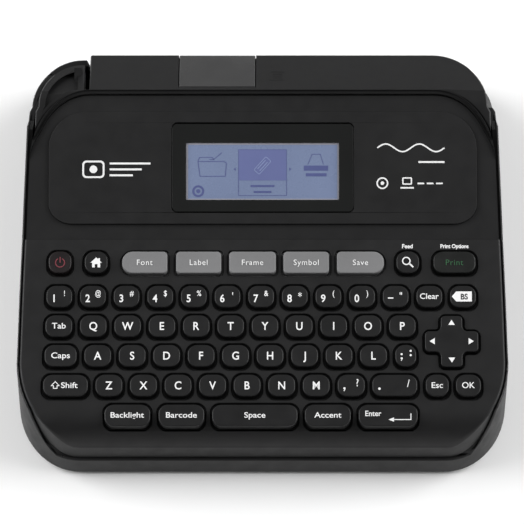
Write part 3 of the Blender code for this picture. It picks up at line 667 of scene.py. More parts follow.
def brushed_steel():
    nodes = Nodes("steel")
    stretch = nodes.add("ShaderNodeMapping")
    stretch.inputs["Scale"].default_value = (40.0, 900.0, 900.0)
    nodes.link(nodes.place, stretch.inputs["Vector"])
    noise = nodes.add("ShaderNodeTexNoise", Scale=1.6, Detail=3.0)
    nodes.link(stretch.outputs["Vector"], noise.inputs["Vector"])
    grain = noise.outputs["Fac"]
    tone = nodes.spread(grain, 0.0, 1.0)
    nodes.feed("Base Color", nodes.blend(tone, (0.36, 0.36, 0.37), (0.52, 0.52, 0.53)))
    nodes.feed("Roughness", nodes.spread(grain, 0.28, 0.42))
    nodes.shader.inputs["Metallic"].default_value = 1.0
    nodes.bump(grain, 0.2, 0.000006)
    return nodes.made


def circuit_board():
    """Green solder mask with fine copper tracks showing through."""
    nodes = Nodes("circuit_board")
    tracks = nodes.add("ShaderNodeTexVoronoi", Scale=330.0, distance="MANHATTAN", feature="DISTANCE_TO_EDGE")
    nodes.link(nodes.place, tracks.inputs["Vector"])
    lines = nodes.spread(tracks.outputs["Distance"], 0.0, 1.0, 0.02, 0.07)
    nodes.feed("Base Color", nodes.blend(lines, (0.03, 0.19, 0.07), (0.006, 0.07, 0.025)))
    nodes.feed("Roughness", nodes.spread(nodes.noise(220.0), 0.3, 0.45))
    nodes.bump(lines, 0.3, 0.00002)
    return nodes.made


def lcd_glass():
    """The lit face of a monochrome display: pale blue-grey, with its dot grid."""
    nodes = Nodes("lcd_backlight")
    drift = nodes.spread(nodes.noise(26.0, 2.0), 0.0, 1.0)
    colour = nodes.blend(drift, (0.135, 0.170, 0.275), (0.155, 0.195, 0.31))
    nodes.feed("Base Color", colour)
    nodes.feed("Emission Color", colour)
    nodes.shader.inputs["Emission Strength"].default_value = 0.12
    nodes.feed("Roughness", nodes.spread(nodes.noise(300.0), 0.24, 0.32))
    dots = nodes.add("ShaderNodeTexChecker", Scale=2600.0)
    nodes.link(nodes.place, dots.inputs["Vector"])
    nodes.bump(dots.outputs["Fac"], 0.15, 0.000004)
    return nodes.made


def smoked_plastic():
    """Translucent grey plastic, with the paler cassette showing softly through it."""
    nodes = Nodes("smoked_window")
    drift = nodes.spread(nodes.noise(34.0, 3.0), 0.0, 1.0)
    nodes.feed("Base Color", nodes.blend(drift, (0.028, 0.028, 0.0285), (0.042, 0.042, 0.042)))
    nodes.feed("Roughness", nodes.spread(nodes.noise(190.0, 3.0), 0.16, 0.26))
    nodes.shader.inputs["Coat Weight"].default_value = 0.4
    nodes.bump(nodes.noise(700.0, 2.0), 0.15, 0.00001)
    return nodes.made


STEEL, BOARD, LCD, SMOKED = brushed_steel(), circuit_board(), lcd_glass(), smoked_plastic()


# Shells


def smooth_between(points, value):
    """Linear reading of a side-view line at one y."""
    for (y0, z0), (y1, z1) in zip(points, points[1:]):
        if value <= y1:
            t = (max(value, y0) - y0) / (y1 - y0)
            return z0 + (z1 - z0) * t
    return points[-1][1]


SLOPE_LINE = front_slope(28)

# Pairs of height and growth that open a well or the faceplate's recess into a soft lip
WELL_LIP = ((-9.0, 0), (-0.5, 0), (-0.24, 0.06), (-0.08, 0.18), (0.0, 0.34), (0.06, 0.46), (5.0, 0.5))
RECESS_LIP = (
    (-FASCIA_DEPTH - GAP, 0), (-0.2, 0), (-0.08, 0.04), (0.0, 0.12), (0.03, 0.2), (5.0, 0.22),
)
RECESS_GAP = 0.16

# The shadow line in the display housing: its outlines' growths at the sides and at the rear, and its depth
GROOVE_OUTER, GROOVE_INNER, GROOVE_DEPTH = (1.6, -0.85), (0.1, -2.2), 1.5
GROOVE_LEAVES_Y, GROOVE_TURN = 17.0, 14.0


def panel_z(y):
    """Height of the keyboard housing's upper surface."""
    return key_plane_z(y) if y >= SLOPE_TOP_Y else smooth_between(SLOPE_LINE, y)


def crowned(name, outline, top_z, low_z, radius, deeper, wall):
    """A shell with a rounded upper edge: outline(inset) from above, top_z(y) and low_z(y) at its side."""
    rings = [[(x, y, low_z(y)) for x, y in outline(0)]]
    for i in range(6):
        angle = math.radians(90 * i / 5)
        inset, drop = radius * (1 - math.cos(angle)), radius * (1 - math.sin(angle))
        rings.append([(x, y, top_z(y) - drop) for x, y in outline(inset)])
    rings += [[(x, y, top_z(y)) for x, y in outline(inset)] for inset in deeper]
    inner = [[(x, y, top_z(y) - wall) for x, y in outline(inset)] for inset in reversed(deeper) if inset > wall]
    inner.append([(x, y, low_z(y)) for x, y in outline(wall)])
    return loft(name, rings[::-1] + [inner[-1]] + inner[-2::-1])


def seam_cutter(name, towards, plane_z):
    """Everything beyond the seam on one side, leaving the shell a rounded lip there."""
    edge = SEAM_Y + towards * GAP / 2
    z = plane_z(edge)
    lip = [(0, -0.6), (0.05, -0.32), (0.16, -0.14), (0.34, -0.03), (0.6, 0.06), (0.62, 80)]
    profile = [(edge + towards * dy, z + dz) for dy, dz in lip]
    far = edge - towards * 120
    outline = [(far, -40), (edge, -40)] + profile + [(far, z + 80)]
    return prism(name, [outline], -130, 130, SIDE)


def flared(name, outline_at):
    """A well's cutter in the keyboard, whose mouth opens into a soft lip."""
    rings = [[(x, y, z) for x, y in outline_at(grow)] for z, grow in WELL_LIP]
    return loft(name, rings, KEYBOARD)


def merged(name, pieces):
    """Several placed meshes as one, in the frame."""
    work = bmesh.new()
    for piece in pieces:
        mesh = evaluated(piece)
        mesh.transform(piece.matrix_world)
        work.from_mesh(mesh)
    remove(*pieces)
    return from_work(name, work)


def make_keyboard_housing():
    inset = PANEL_INSET - 0.4
    low = [(PANEL_FRONT[0], PART_LINE_Z), (SLOPE_TOP_Y, key_plane_z(SLOPE_TOP_Y) - RIM_DROP + GAP)]
    low.append((SEAM_Y + 20, key_plane_z(SEAM_Y + 20) - RIM_DROP + GAP))
    shell = crowned(
        "keyboard_shell",
        lambda more: case_plan(inset + more),
        panel_z,
        lambda y: smooth_between(low, y),
        0.8,
        (1.2, 1.8, 2.6, 3.5, 4.6, 6.0, 7.6, 9.4, 11.2, 12.8),
        WALL,
    )
    boolean(shell, seam_cutter("seam_rear", -1, key_plane_z))
    wells = [
        flared(
            f"well_{name}_{i}",
            lambda grow, w=well, k=kind, end=ROUND_ENDS.get(name, 0): key_shape(*w, grow, k, end),
        )
        for name, i, well, kind in key_spans()
    ]
    wells.append(flared("well_pad", plus_outline))
    boolean(shell, merged("wells", wells))
    return done(shell, PANEL, "case", "keyboard_housing", slot="panel_plastic")


def rear_groove():
    """A shadow line just inside the display housing's rear edge, which runs out over its sides."""

    def outline(growths):
        line = []
        for p, r in zip(*(display_plan(grow, SEAM_Y - 12) for grow in growths)):
            share = min(max((p[1] - GROOVE_LEAVES_Y) / GROOVE_TURN, 0), 1)
            share *= share * (3 - 2 * share)
            line.append(tuple(a * (1 - share) + b * share for a, b in zip(p, r)))
        return line

    groove = prism("rear_groove", [outline(GROOVE_OUTER), outline(GROOVE_INNER)], 0, 120)
    floor = [(y, display_z(y) - GROOVE_DEPTH) for y in (-40, 70)] + [(70, 130), (-40, 130)]
    return boolean(groove, prism("groove_floor", [floor], -130, 130, SIDE), "INTERSECT")


def make_display_housing():
    def low(y):
        return display_z(y) - (RIM_DROP - GAP if y < 31 else 7.5)

    plan = lambda more: display_plan(-more, SEAM_Y - 8)
    shell = crowned("display_shell", plan, display_z, low, 1.0, (1.6, 2.6, 3.8), DISPLAY_SKIN)
    boolean(shell, seam_cutter("seam_front", 1, display_z))
    boolean(shell, rear_groove())
    recess = [[(x, y, z) for x, y in fascia_outline(RECESS_GAP + grow)] for z, grow in RECESS_LIP]
    boolean(shell, loft("recess", recess, DISPLAY))
    boolean(shell, box("screen_window", (-33, 12.6, -12), (33, 42.6, 5), DISPLAY))
    return done(shell, PANEL, "case", "display_housing", slot="panel_plastic")


def make_fascia():
    plate = prism("fascia_plate", [fascia_outline(0)], -FASCIA_DEPTH, -0.1, DISPLAY)
    x0, y0, x1, y1 = LENS
    hole = prism("lens_hole", [rounded(x0 - GAP, y0 - GAP, x1 + GAP, y1 + GAP, 2.2)], -5, 5, DISPLAY)
    boolean(plate, hole)
    round_edges(plate, 0.22, 2)
    done(plate, PANEL, "case", "display_fascia", slot="panel_plastic")
    lens = prism("lens_frame", [rounded(x0, y0, x1, y1, 2.0)], -FASCIA_DEPTH, -0.5, DISPLAY)
    x0, y0, x1, y1 = SCREEN
    boolean(lens, prism("screen_hole", [rounded(x0, y0, x1, y1, 0.3)], -5, 5, DISPLAY))
    round_edges(lens, 0.15, 2)
    return done(lens, GLOSS, "case", "lcd_lens", slot="gloss_bezel")


def make_base_case():
    lower = [(FRONT_Y, CASE_BOTTOM), (FRONT_Y, PART_LINE_Z - GAP)]
    behind = [(36.0, 59.5), (62.0, 51.0), (68.0, 54.0)]

    def rim(drop):
        line = [p for p in top_line(drop) if p[0] > SLOPE_TOP_Y - 0.1 and p[0] < 20]
        return line + [(30.0, display_z(30.0) - drop)]

    outside = lower + [(PANEL_FRONT[0] + 1, PART_LINE_Z - GAP)] + rim(LIP_DROP) + behind
    outside += [LEAN_FOOT, (REAR_Y, CASE_BOTTOM)]
    shell = shaped("base_shell", outside, case_plan(0), lean_plan(LEAN_INSET, 0))
    round_edges(tidy_mesh(shell), 0.6, 3, 50)
    seat = [(FRONT_Y - 5, PART_LINE_Z - GAP + 0.01), (PANEL_FRONT[0] + 1, PART_LINE_Z - GAP + 0.01)]
    seat += rim(RIM_DROP) + [(36.0, 59.4), (36.0, 120.0), (FRONT_Y - 5, 120.0)]
    seat = shaped("panel_seat", seat, case_plan(LIP_THICK))
    boolean(shell, seat, careful=True)
    hollow = [(-100, CASE_BOTTOM + WALL), (-100, 100), (100, 100), (100, CASE_BOTTOM + WALL)]
    hollow = shaped("base_hollow", hollow, case_plan(WALL), lean_plan(LEAN_INSET + WALL, WALL))
    boolean(shell, hollow, careful=True)
    (y0, z0), (y1, z1) = [(y - 0.45, z - 0.45) for y, z in COVER_EDGE]
    opening = [(y0, 100), (y0, z0), (y1, z1), (y1 + 0.4, RIM_REAR_Z), (100, RIM_REAR_Z), (100, 100)]
    boolean(shell, prism("cover_opening", [opening], SLOT_LEFT, 120, SIDE))
    reach = HINGE_ENDS[1] + 0.4
    boolean(shell, box("hinge_slot", (-reach, 80, HINGE[1] - 2.2), (reach, 100, 30)))
    for x in (-HINGE_ENDS[1], HINGE_ENDS[0]):
        ear = box("hinge_ear", (x, 84.4, 6.0), (x + 4.0, 88.3, 15.6))
        boolean(ear, cylinder("ear_bore", HINGE, x - 2, x + 6, 1.15, SIDE, 32))
        boolean(shell, round_edges(ear, 0.3, 2), "UNION")
    (x0, y0), (x1, y1) = HATCH
    boolean(shell, box("battery_hatch", (x0, y0, 0), (x1, y1, 10)))
    boolean(shell, prism("usb_hole", [rounded(-31.0, 10.6, -22.6, 14.6, 0.6)], 85, 99, SIDE))
    boolean(shell, cylinder("jack_hole", INLET_AT, 85, 99, 4.0, SIDE))
    for at in SCREWS:
        boolean(shell, cylinder("boss", at, 3.0, 21.0, 3.4), "UNION")
        boolean(shell, cylinder("boss_bore", at, 0, 22, 1.6))
        boolean(shell, cylinder("boss_counterbore", at, 0, 4.4, 2.7))
    return done(shell, CASE, "case", "base_case", slot="case_plastic")


def behind_display(name, grow=GAP + 0.1):
    return prism(name, [display_plan(grow, -120, 130)], -10, 120)


def make_tape_cover():
    edge = COVER_EDGE
    outside = cover_profile(0) + [(REAR_Y - 0.4, edge[1][1]), edge[1], edge[0], (15.0, 56.4)]
    shell = shaped("cover_shell", outside, case_plan(COVER_INSET, 0), lean_plan(0, COVER_INSET))
    boolean(shell, behind_display("cover_front"))
    boolean(shell, box("cover_left", (-130, -100, -10), (SLOT_RIGHT, 130, 120)))
    round_edges(tidy_mesh(shell), 0.6, 3, 55)
    inner = cover_profile(WALL) + [(LEAN_FOOT[0] - WALL - 0.2, 5.0), (0, 5.0)]
    plan, lean = case_plan(COVER_INSET + WALL, WALL), lean_plan(WALL, COVER_INSET + WALL)
    hollow = shaped("cover_hollow", inner, plan, lean)
    boolean(shell, hollow, careful=True)
    inner, outer = HINGE_ENDS
    for x in (-outer, inner):
        boolean(shell, box("ear_notch", (x - 0.4, 80, 10), (x + 4.4, 95, 16.2)))
    web = round_edges(box("hinge_web", (1.0 - inner, 85.8, 13.4), (inner - 1.0, 87.6, 17.4)), 0.2, 2)
    barrel = cylinder("hinge_barrel", HINGE, 0.5 - inner, inner - 0.5, 1.5, SIDE, 32)
    boolean(shell, web, "UNION")
    boolean(shell, barrel, "UNION")
    boolean(shell, cylinder("hinge_pins", HINGE, 0.5 - outer, outer - 0.5, 1.0, SIDE, 32), "UNION")
    boolean(shell, prism("window_cut", [window_sides(GAP)], WINDOW_X[0] - GAP, WINDOW_X[1] + GAP, SIDE))
    x0, y0, x1, y1 = LATCH
    latch = rounded(x0 - GAP, y0 - GAP, x1 + GAP, y1 + GAP, 1.4)
    boolean(shell, prism("latch_hole", [latch], -5, 5, LEANING))
    return done(shell, CASE, "tape_cover", "tape_cover", slot="case_plastic")


def make_window():
    x0, x1 = WINDOW_X
    line, inner = cover_profile(0)[2:], cover_profile(WALL - 0.5)[2:]
    pane = prism("window_pane", [line + inner[::-1]], x0, x1, SIDE)
    boolean(pane, prism("window_reach", [window_sides(0)], x0 - 5, x1 + 5, SIDE), "INTERSECT")
    round_edges(tidy_mesh(pane), 0.45, 3)
    return done(pane, SMOKED, "tape_cover", "cassette_window", slot="smoked_window")


def make_latch():
    button = prism("latch_button", [rounded(*LATCH, 1.2)], 0.3, 3.0, LEANING)
    for a in (35.3, 37.5, 39.7):
        boolean(button, box("latch_groove", (22.0, a - 0.3, -1), (32.0, a + 0.3, 0.8), LEANING))
    round_edges(button, 0.25, 2)
    slide = prism("latch_slide", [rounded(18.5, 31.0, 36.0, 44.0, 1.0)], WALL + 0.4, 4.2, LEANING)
    boolean(button, slide, "UNION")
    return done(button, CASE, "cover_latch", "cover_latch", slot="case_plastic")


def above(name, depth, inset):
    """Everything above the lever's surface lowered by depth, inside its outline drawn in by inset."""
    line = cover_profile(0.4 + depth)
    region = line + [(130, 18.0), (130, 130), (15.0, 130)]
    plan = case_plan(LEVER_INSET + inset, 0)
    lean = lean_plan(LEAN_INSET + WALL + 0.4 + inset, LEVER_INSET + inset)
    return shaped(name, region, plan, lean)


def lever_hollowing(name, inset, shallow, deep=None):
    """A concentric band of the lever's dish, from shallow down to deep or through."""
    band = above(name, shallow, inset)
    if deep is not None:
        boolean(band, above(name + "_floor", deep, inset - 1.0))
    side = -71.9 - 0.25 * (inset - 2.6)
    boolean(band, box(name + "_side", (side, -120, -50), (130, 130, 160)))
    return band


RIDGE_INSET = 4.1
TRUNNION_X, TRUNNION_Z = -71.5, 60.5


def make_cutter_lever():
    outside = cover_profile(0.4)[:-1] + [(72.0, 49.0), (60.0, 50.0), (40.0, 53.0), (15.0, 56.5)]
    plan, lean = case_plan(LEVER_INSET, 0), lean_plan(LEAN_INSET + WALL + 0.4, LEVER_INSET)
    shell = shaped("lever_shell", outside, plan, lean)
    boolean(shell, behind_display("lever_front"))
    boolean(shell, box("lever_right", (SLOT_LEFT - 0.4, -100, -10), (130, 130, 120)))
    round_edges(tidy_mesh(shell), 0.5, 3, 55)
    inner = cover_profile(0.4 + WALL) + [(80, 20.0), (0, 20.0)]
    plan = case_plan(LEVER_INSET + 1.8, 0)
    lean = lean_plan(LEAN_INSET + 2 * WALL + 0.4, LEVER_INSET + 1.8)
    hollow = shaped("lever_hollow", inner, plan, lean)
    boolean(hollow, behind_display("hollow_front", GAP + 2.0))
    boolean(shell, hollow, careful=True)
    dish = lever_hollowing("dish", 2.6, 1.5)
    boolean(dish, behind_display("dish_front", GAP + 1.6))
    ridge = lever_hollowing("ridge", RIDGE_INSET, 0.7, 3.0)
    boolean(ridge, above("ridge_inside", 0.0, RIDGE_INSET + 1.0))
    boolean(dish, ridge)
    boolean(dish, lever_hollowing("dish_floor", 6.3, 1.15, 3.0))
    boolean(shell, dish)
    along_y = Matrix.Rotation(math.radians(-90), 4, "X")
    trunnion = cylinder("trunnion", (TRUNNION_X, -TRUNNION_Z), 36.5, 52.0, 1.5, along_y, 32)
    boolean(shell, trunnion, "UNION")
    boolean(shell, box("lever_arm", (-73.4, 44.5, 5.5), (-70.6, 58.0, 15.0), LEANING), "UNION")
    boolean(shell, box("lever_rib", (-73.0, 46.0, 56.0), (-70.7, 51.0, 64.8)), "UNION")
    return done(shell, CASE, "cutter", "cutter_lever", slot="case_plastic")


# Key caps


DISH = ((-0.9, 0.015), (-1.5, 0.05), (-2.2, 0.1), (-2.9, 0.13))


def cap_mesh(name, shape, top, edge=0.45, dish=DISH):
    """A cap from its skirt to a softly dished top. shape(grow) is its outline."""
    rings = [[(x, y, FLANGE_TOP) for x, y in shape(0.12)], [(x, y, top - edge - 0.5) for x, y in shape(0.02)]]
    for i in range(6):
        angle = math.radians(90 * i / 5)
        grow = -edge * (1 - math.cos(angle))
        rings.append([(x, y, top - edge * (1 - math.sin(angle))) for x, y in shape(grow)])
    rings += [[(x, y, top - sink) for x, y in shape(grow)] for grow, sink in dish]
    return loft(name, rings, KEYBOARD)


FLANGE, FLANGE_TOP, FLANGE_THICK, LAST_ROW = 0.4, -2.6, 0.8, 5
KEY_FINISHES = {"power_key": (POWER_KEY, "power_key_plastic"), "print_key": (PRINT_KEY, "print_key_plastic")}
PLAIN_KEYS = ((BLACK_KEY, "black_key"), (GREY_KEY, "grey_key"))


def web(name, x0, q0, x1, q1, radius):
    """The thin plate under the panel that joins a group's caps and stops them from falling out."""
    outline = rounded(x0 - FLANGE, q0, x1 + FLANGE, q1, radius, 4)
    return prism(name, [outline], FLANGE_TOP - FLANGE_THICK, FLANGE_TOP + 0.05, KEYBOARD)


def make_keys():
    caps = {}
    for name, i, (x0, q0, x1, q1), kind in key_spans():
        inset = CAP_GAP + (0.0 if kind == "grey_key" else 0.1)
        low = q0 + inset + (0.15 if kind == "grey_key" else 0.25)

        def shape(grow, a=(x0 + inset, low, x1 - inset, q1 - inset), k=kind, n=name):
            return key_shape(*a, grow, k, ROUND_ENDS.get(n, 0))

        caps.setdefault(name, []).append(cap_mesh(f"{name}_cap_{i}", shape, CAP_HEIGHT - 0.1))
    for name, pieces in caps.items():
        row, spans = KEY_GROUPS[name]
        middle = row_middle(row)
        front = middle + 1.5 if row == LAST_ROW else middle - WELL_HEIGHT / 2 - FLANGE
        rear = middle + WELL_HEIGHT / 2 + FLANGE
        plate = web(name + "_web", spans[0][0], front, spans[-1][1], rear, 1.2)
        finish, slot = KEY_FINISHES.get(name, PLAIN_KEYS[name in GREY_KEYS])
        done(merged(name + "_caps", pieces + [plate]), finish, name, name, slot=slot, smooth=40)


def make_pad():
    dish = ((-0.9, 0.02), (-1.2, 0.04))
    pad = cap_mesh("pad_cap", lambda grow: plus_outline(grow - 0.8), CAP_HEIGHT - 0.1, 0.35, dish)
    cx, cy = PAD_CENTRE
    reach = PAD_REACH + FLANGE
    plate = web("pad_web", cx - PAD_REACH, cy - reach, cx + PAD_REACH, cy + reach, 2)
    whole = merged("direction_pad_caps", [pad, plate])
    return done(whole, BLACK_KEY, "direction_pad", "direction_pad", slot="black_key")


# Printing: legends and pictograms, as thin raised ink

INK_THICK = 0.05
CAPITAL_SHARE = 0.729


def text_mesh(words, at, height, weight=0.0, squeeze=0.88, spacing=1.0):
    """Words whose capitals stand height tall, centred on at, in a plane's own millimetres."""
    curve = bpy.data.curves.new("words", "FONT")
    curve.body = words
    curve.size = height / CAPITAL_SHARE * MM
    curve.offset = weight * MM
    curve.extrude = INK_THICK / 2 * MM
    curve.space_character = spacing
    curve.resolution_u = 5
    holder = new_piece("words", curve)
    mesh = evaluated(holder)
    remove(holder)
    xs = [v.co.x for v in mesh.vertices]
    mesh.transform(
        Matrix.Translation((at[0] * MM, (at[1] - height / 2) * MM, 0))
        @ Matrix.Diagonal((squeeze, 1, 1, 1))
        @ Matrix.Translation((-(min(xs) + max(xs)) / 2, 0, 0))
    )
    return mesh


def drawn(*outlines):
    """Closed outlines as thin ink; an outline inside another leaves a hole."""
    solid = prism("ink", outlines, -INK_THICK / 2, INK_THICK / 2)
    mesh = solid.data.copy()
    mesh.transform(solid.matrix_world)
    remove(solid)
    return mesh


def stroke(points, width, closed=False):
    """A line of even width through points, as an outline."""
    count = len(points)
    left, right = [], []
    for i, p in enumerate(points):
        before = points[i - 1] if closed or i else points[0]
        after = points[(i + 1) % count] if closed or i < count - 1 else points[-1]
        first = Vector((p[0] - before[0], p[1] - before[1]))
        second = Vector((after[0] - p[0], after[1] - p[1]))
        first = first.normalized() if first.length > 1e-6 else second.normalized()
        second = second.normalized() if second.length > 1e-6 else first
        across = Vector((-(first + second).y, (first + second).x)).normalized()
        reach = width / 2 / max(across.dot(Vector((-first.y, first.x))), 0.5)
        left.append((p[0] + across.x * reach, p[1] + across.y * reach))
        right.append((p[0] - across.x * reach, p[1] - across.y * reach))
    return [left, right] if closed else [left + right[::-1]]


def circle(at, radius, steps=28):
    return arc(at, (radius, radius), 0, 360 - 360 / steps, steps - 1)


def block(x0, y0, x1, y1):
    return [(x0, y0), (x1, y0), (x1, y1), (x0, y1)]


def ink(name, meshes, finish, body, place, height):
    """Thin printed marks gathered into one piece that rides on a body."""
    work = bmesh.new()
    lift = place @ Matrix.Translation((0, 0, (height + INK_THICK / 2) * MM))
    for mesh in meshes:
        mesh.transform(lift)
        work.from_mesh(mesh)
    return done(from_work(name, work), finish, body, smooth=40)


def moved(points, x, y):
    return [(x + px, y + py) for px, py in points]


KEY_TOP = CAP_HEIGHT - 0.13
LETTERS = {"upper_letter_keys": "QWERTYUIOP", "middle_letter_keys": "ASDFGHJKL", "lower_letter_keys": "ZXCVBNM"}
NUMBERS = tuple(zip("1234567890-", "!@#$%'&*()\""))
HANGING = "'\"*"
WORDS = {
    "tab_key": ("Tab", 2.35, 1.1),
    "caps_key": ("Caps", 2.35, 1.14),
    "escape_key": ("Esc", 2.35, 1.1),
    "ok_key": ("OK", 2.45, 1.0),
    "clear_key": ("Clear", 2.3, 1.04),
    "backlight_key": ("Backlight", 2.25, 1.17),
    "barcode_key": ("Barcode", 2.25, 1.17),
    "space_key": ("Space", 2.25, 1.17),
    "accent_key": ("Accent", 2.25, 1.17),
}
SMALL_COMMA = ((-1.95, -0.6), (-1.2, -0.6), (-1.2, -1.2), (-1.7, -2.0), (-1.9, -1.9), (-1.6, -1.2), (-1.95, -1.2))
COMMA = ((-3.0, -0.7), (-2.2, -0.7), (-2.2, -1.35), (-2.7, -2.2), (-2.95, -2.1), (-2.6, -1.35), (-3.0, -1.35))
HOUSE = (
    (-2.2, -0.1), (-1.55, -0.1), (-1.55, -2.0), (-0.55, -2.0), (-0.55, -0.7),
    (0.55, -0.7), (0.55, -2.0), (1.55, -2.0), (1.55, -0.1), (2.2, -0.1),
    (1.45, 0.6), (1.45, 1.7), (0.8, 1.7), (0.8, 1.25), (0, 2.0),
)
SHIFT_ARROW = ((-3.9, 1.6), (-5.4, 0), (-4.6, 0), (-4.6, -1.1), (-3.2, -1.1), (-3.2, 0), (-2.4, 0))
BACKSPACE_TAG = ((-4.3, 0.1), (-2.6, 2.1), (3.4, 2.1), (3.4, -1.9), (-2.6, -1.9))


def key_centre(name, i=0):
    row, spans = KEY_GROUPS[name]
    return (spans[i][0] + spans[i][1]) / 2, row_middle(row)


def put(name, meshes, finish=WHITE_INK):
    ink(name + "_legend", meshes, finish, name, KEYBOARD, KEY_TOP)


def make_character_legends():
    for name, letters in LETTERS.items():
        marks = []
        for i, letter in enumerate(letters):
            x, q = key_centre(name, i)
            marks.append(text_mesh(letter, (x, q + 0.2), 3.25, 0.06, 0.9))
        if name == "middle_letter_keys":
            x, q = key_centre(name, 9)
            marks += [drawn(circle((x + dx, q + dq), 0.42, 14)) for dx, dq in ((1.9, 2.0), (1.9, 0.3), (-1.6, 0.7))]
            marks.append(drawn(moved(SMALL_COMMA, x, q)))
        if name == "lower_letter_keys":
            x, q = key_centre(name, 7)
            marks.append(drawn(moved(COMMA, x, q)))
            marks.append(text_mesh("?", (x + 2.4, q + 1.3), 3.0, 0.04, 0.8))
            x, q = key_centre(name, 8)
            marks.append(drawn(circle((x - 5.9, q - 1.2), 0.5, 14)))
            marks.append(text_mesh("/", (x + 5.2, q + 1.0), 3.0, 0.04, 0.85))
        put(name, marks)
    marks = []
    for i, (digit, symbol) in enumerate(NUMBERS):
        x, q = key_centre("number_keys", i)
        if digit == "-":
            marks.append(drawn(block(x - 3.0, q - 0.75, x - 0.9, q - 0.3)))
        else:
            marks.append(text_mesh(digit, (x - 2.0, q - 0.55), 3.1, 0.07, 0.88))
        height, lift = (3.0, 0.3) if symbol in HANGING else (2.3, 1.45)
        marks.append(text_mesh(symbol, (x + 2.0, q + lift), height, 0.03, 0.72 if symbol == "@" else 0.82))
    put("number_keys", marks)


def make_legends():
    make_character_legends()
    for name, (words, height, squeeze) in WORDS.items():
        x, q = key_centre(name)
        put(name, [text_mesh(words, (x, q + 0.3), height, 0.03, squeeze)])
    for name in GREY_KEYS:
        x, q = key_centre(name)
        put(name, [text_mesh(name[:-4].capitalize(), (x, q + 0.1), 2.3, 0.0, 0.98, 1.12)])
    x, q = key_centre("print_key")
    put("print_key", [text_mesh("Print", (x, q + 0.1), 2.4, 0.0, 0.98, 1.1)], GREEN_INK)
    x, q = key_centre("power_key")
    ring = stroke(arc((x, q - 0.1), (1.75, 1.75), 118, 422, 30), 0.42)
    put("power_key", [drawn(*ring), drawn(block(x - 0.21, q - 0.1, x + 0.21, q + 2.2))], RED_INK)
    x, q = key_centre("home_key")
    put("home_key", [drawn(moved(HOUSE, x, q))])
    x, q = key_centre("preview_key")
    handle = stroke([(x + 0.55, q - 0.35), (x + 2.1, q - 1.9)], 0.62)
    glass = [circle((x - 0.55, q + 0.6), radius) for radius in (1.65, 1.2)]
    put("preview_key", [drawn(*glass), drawn(*handle)])
    x, q = key_centre("shift_key")
    arrow = stroke(moved(SHIFT_ARROW, x, q), 0.3, True)
    put("shift_key", [drawn(*arrow), text_mesh("Shift", (x + 1.5, q + 0.25), 2.3, 0.03, 1.16)])
    x, q = key_centre("backspace_key")
    put("backspace_key", [drawn(moved(BACKSPACE_TAG, x, q))])
    letters = [text_mesh("BS", (x + 0.5, q + 0.1), 2.3, 0.07, 0.88)]
    ink("backspace_letters", letters, BLACK_KEY, "backspace_key", KEYBOARD, KEY_TOP + 0.05)
    x, q = key_centre("enter_key")
    line = stroke([(x + 8.7, q + 0.8), (x + 8.7, q - 1.6), (x + 1.9, q - 1.6)], 0.34)
    head = [(x + 0.1, q - 1.6), (x + 2.2, q - 0.75), (x + 2.2, q - 2.45)]
    put("enter_key", [text_mesh("Enter", (x - 5.7, q + 0.9), 2.2, 0.04, 0.94), drawn(*line), drawn(head)])
    marks = []
    for quarter in range(4):
        turn = Matrix.Rotation(math.radians(90 * quarter), 2)
        tip = [turn @ Vector(p) for p in ((8.5, 0.0), (6.5, 1.25), (6.5, -1.25))]
        marks.append(drawn(moved(tip, *PAD_CENTRE)))
    put("direction_pad", marks)
    labels = [text_mesh("Feed", (56.0, -3.0), 1.7, 0.06, 0.95)]
    labels.append(text_mesh("Print Options", (74.2, -3.0), 1.6, 0.07, 0.9))
    ink("panel_legend", labels, WHITE_INK, "case", KEYBOARD, -0.02)


def make_marks():
    """Plain pictograms: a printed label on the left, tape and signals on the right, tape on the cover."""
    left = [drawn(rounded(-69.8, 23.6, -61.2, 30.4, 1.6), rounded(-69.1, 24.3, -61.9, 29.7, 1.1))]
    left.append(drawn(circle((-65.5, 27.0), 1.5)))
    left += [drawn(block(-59.2, y, end, y + 0.75)) for y, end in ((28.9, -43.4), (26.6, -46.8), (24.3, -50.2))]
    ink("left_pictogram", left, WHITE_INK, "case", DISPLAY, -0.1)
    wave = [(44.5 + 26.0 * t / 40, 35.4 + 1.5 * math.sin(t / 40 * 4 * math.pi)) for t in range(41)]
    right = [drawn(*stroke(wave, 0.55)), drawn(block(60.4, 29.5, 70.5, 30.2))]
    right.append(drawn(*(circle((46.4, 21.6), radius) for radius in (2.3, 1.75))))
    right.append(drawn(circle((46.4, 21.6), 0.7)))
    right.append(drawn(rounded(54.1, 21.0, 57.9, 23.9, 0.5), rounded(54.6, 21.5, 57.4, 23.4, 0.2)))
    right.append(drawn(block(53.4, 19.5, 58.6, 20.1)))
    right += [drawn(block(60.0 + 3.6 * i, 21.2, 62.6 + 3.6 * i, 21.8)) for i in range(3)]
    ink("right_pictogram", right, WHITE_INK, "case", DISPLAY, -0.1)
    x0 = 2.6
    slope = math.atan2(STRIP_REAR[1] - CREST[1], STRIP_REAR[0] - CREST[0])
    mark = [drawn(rounded(x0, 7.0, x0 + 6.4, 13.0, 0.8), rounded(x0 + 0.5, 7.5, x0 + 5.9, 12.5, 0.5))]
    mark += [drawn(block(x0 + 1.4, 8.4 + 1.3 * i, x0 + 5.0, 8.9 + 1.3 * i)) for i in range(3)]
    ink("cover_pictogram", mark, CASE, "tape_cover", tilted(math.degrees(slope), *CREST), 0.0)


LCD_LEVEL = -1.1


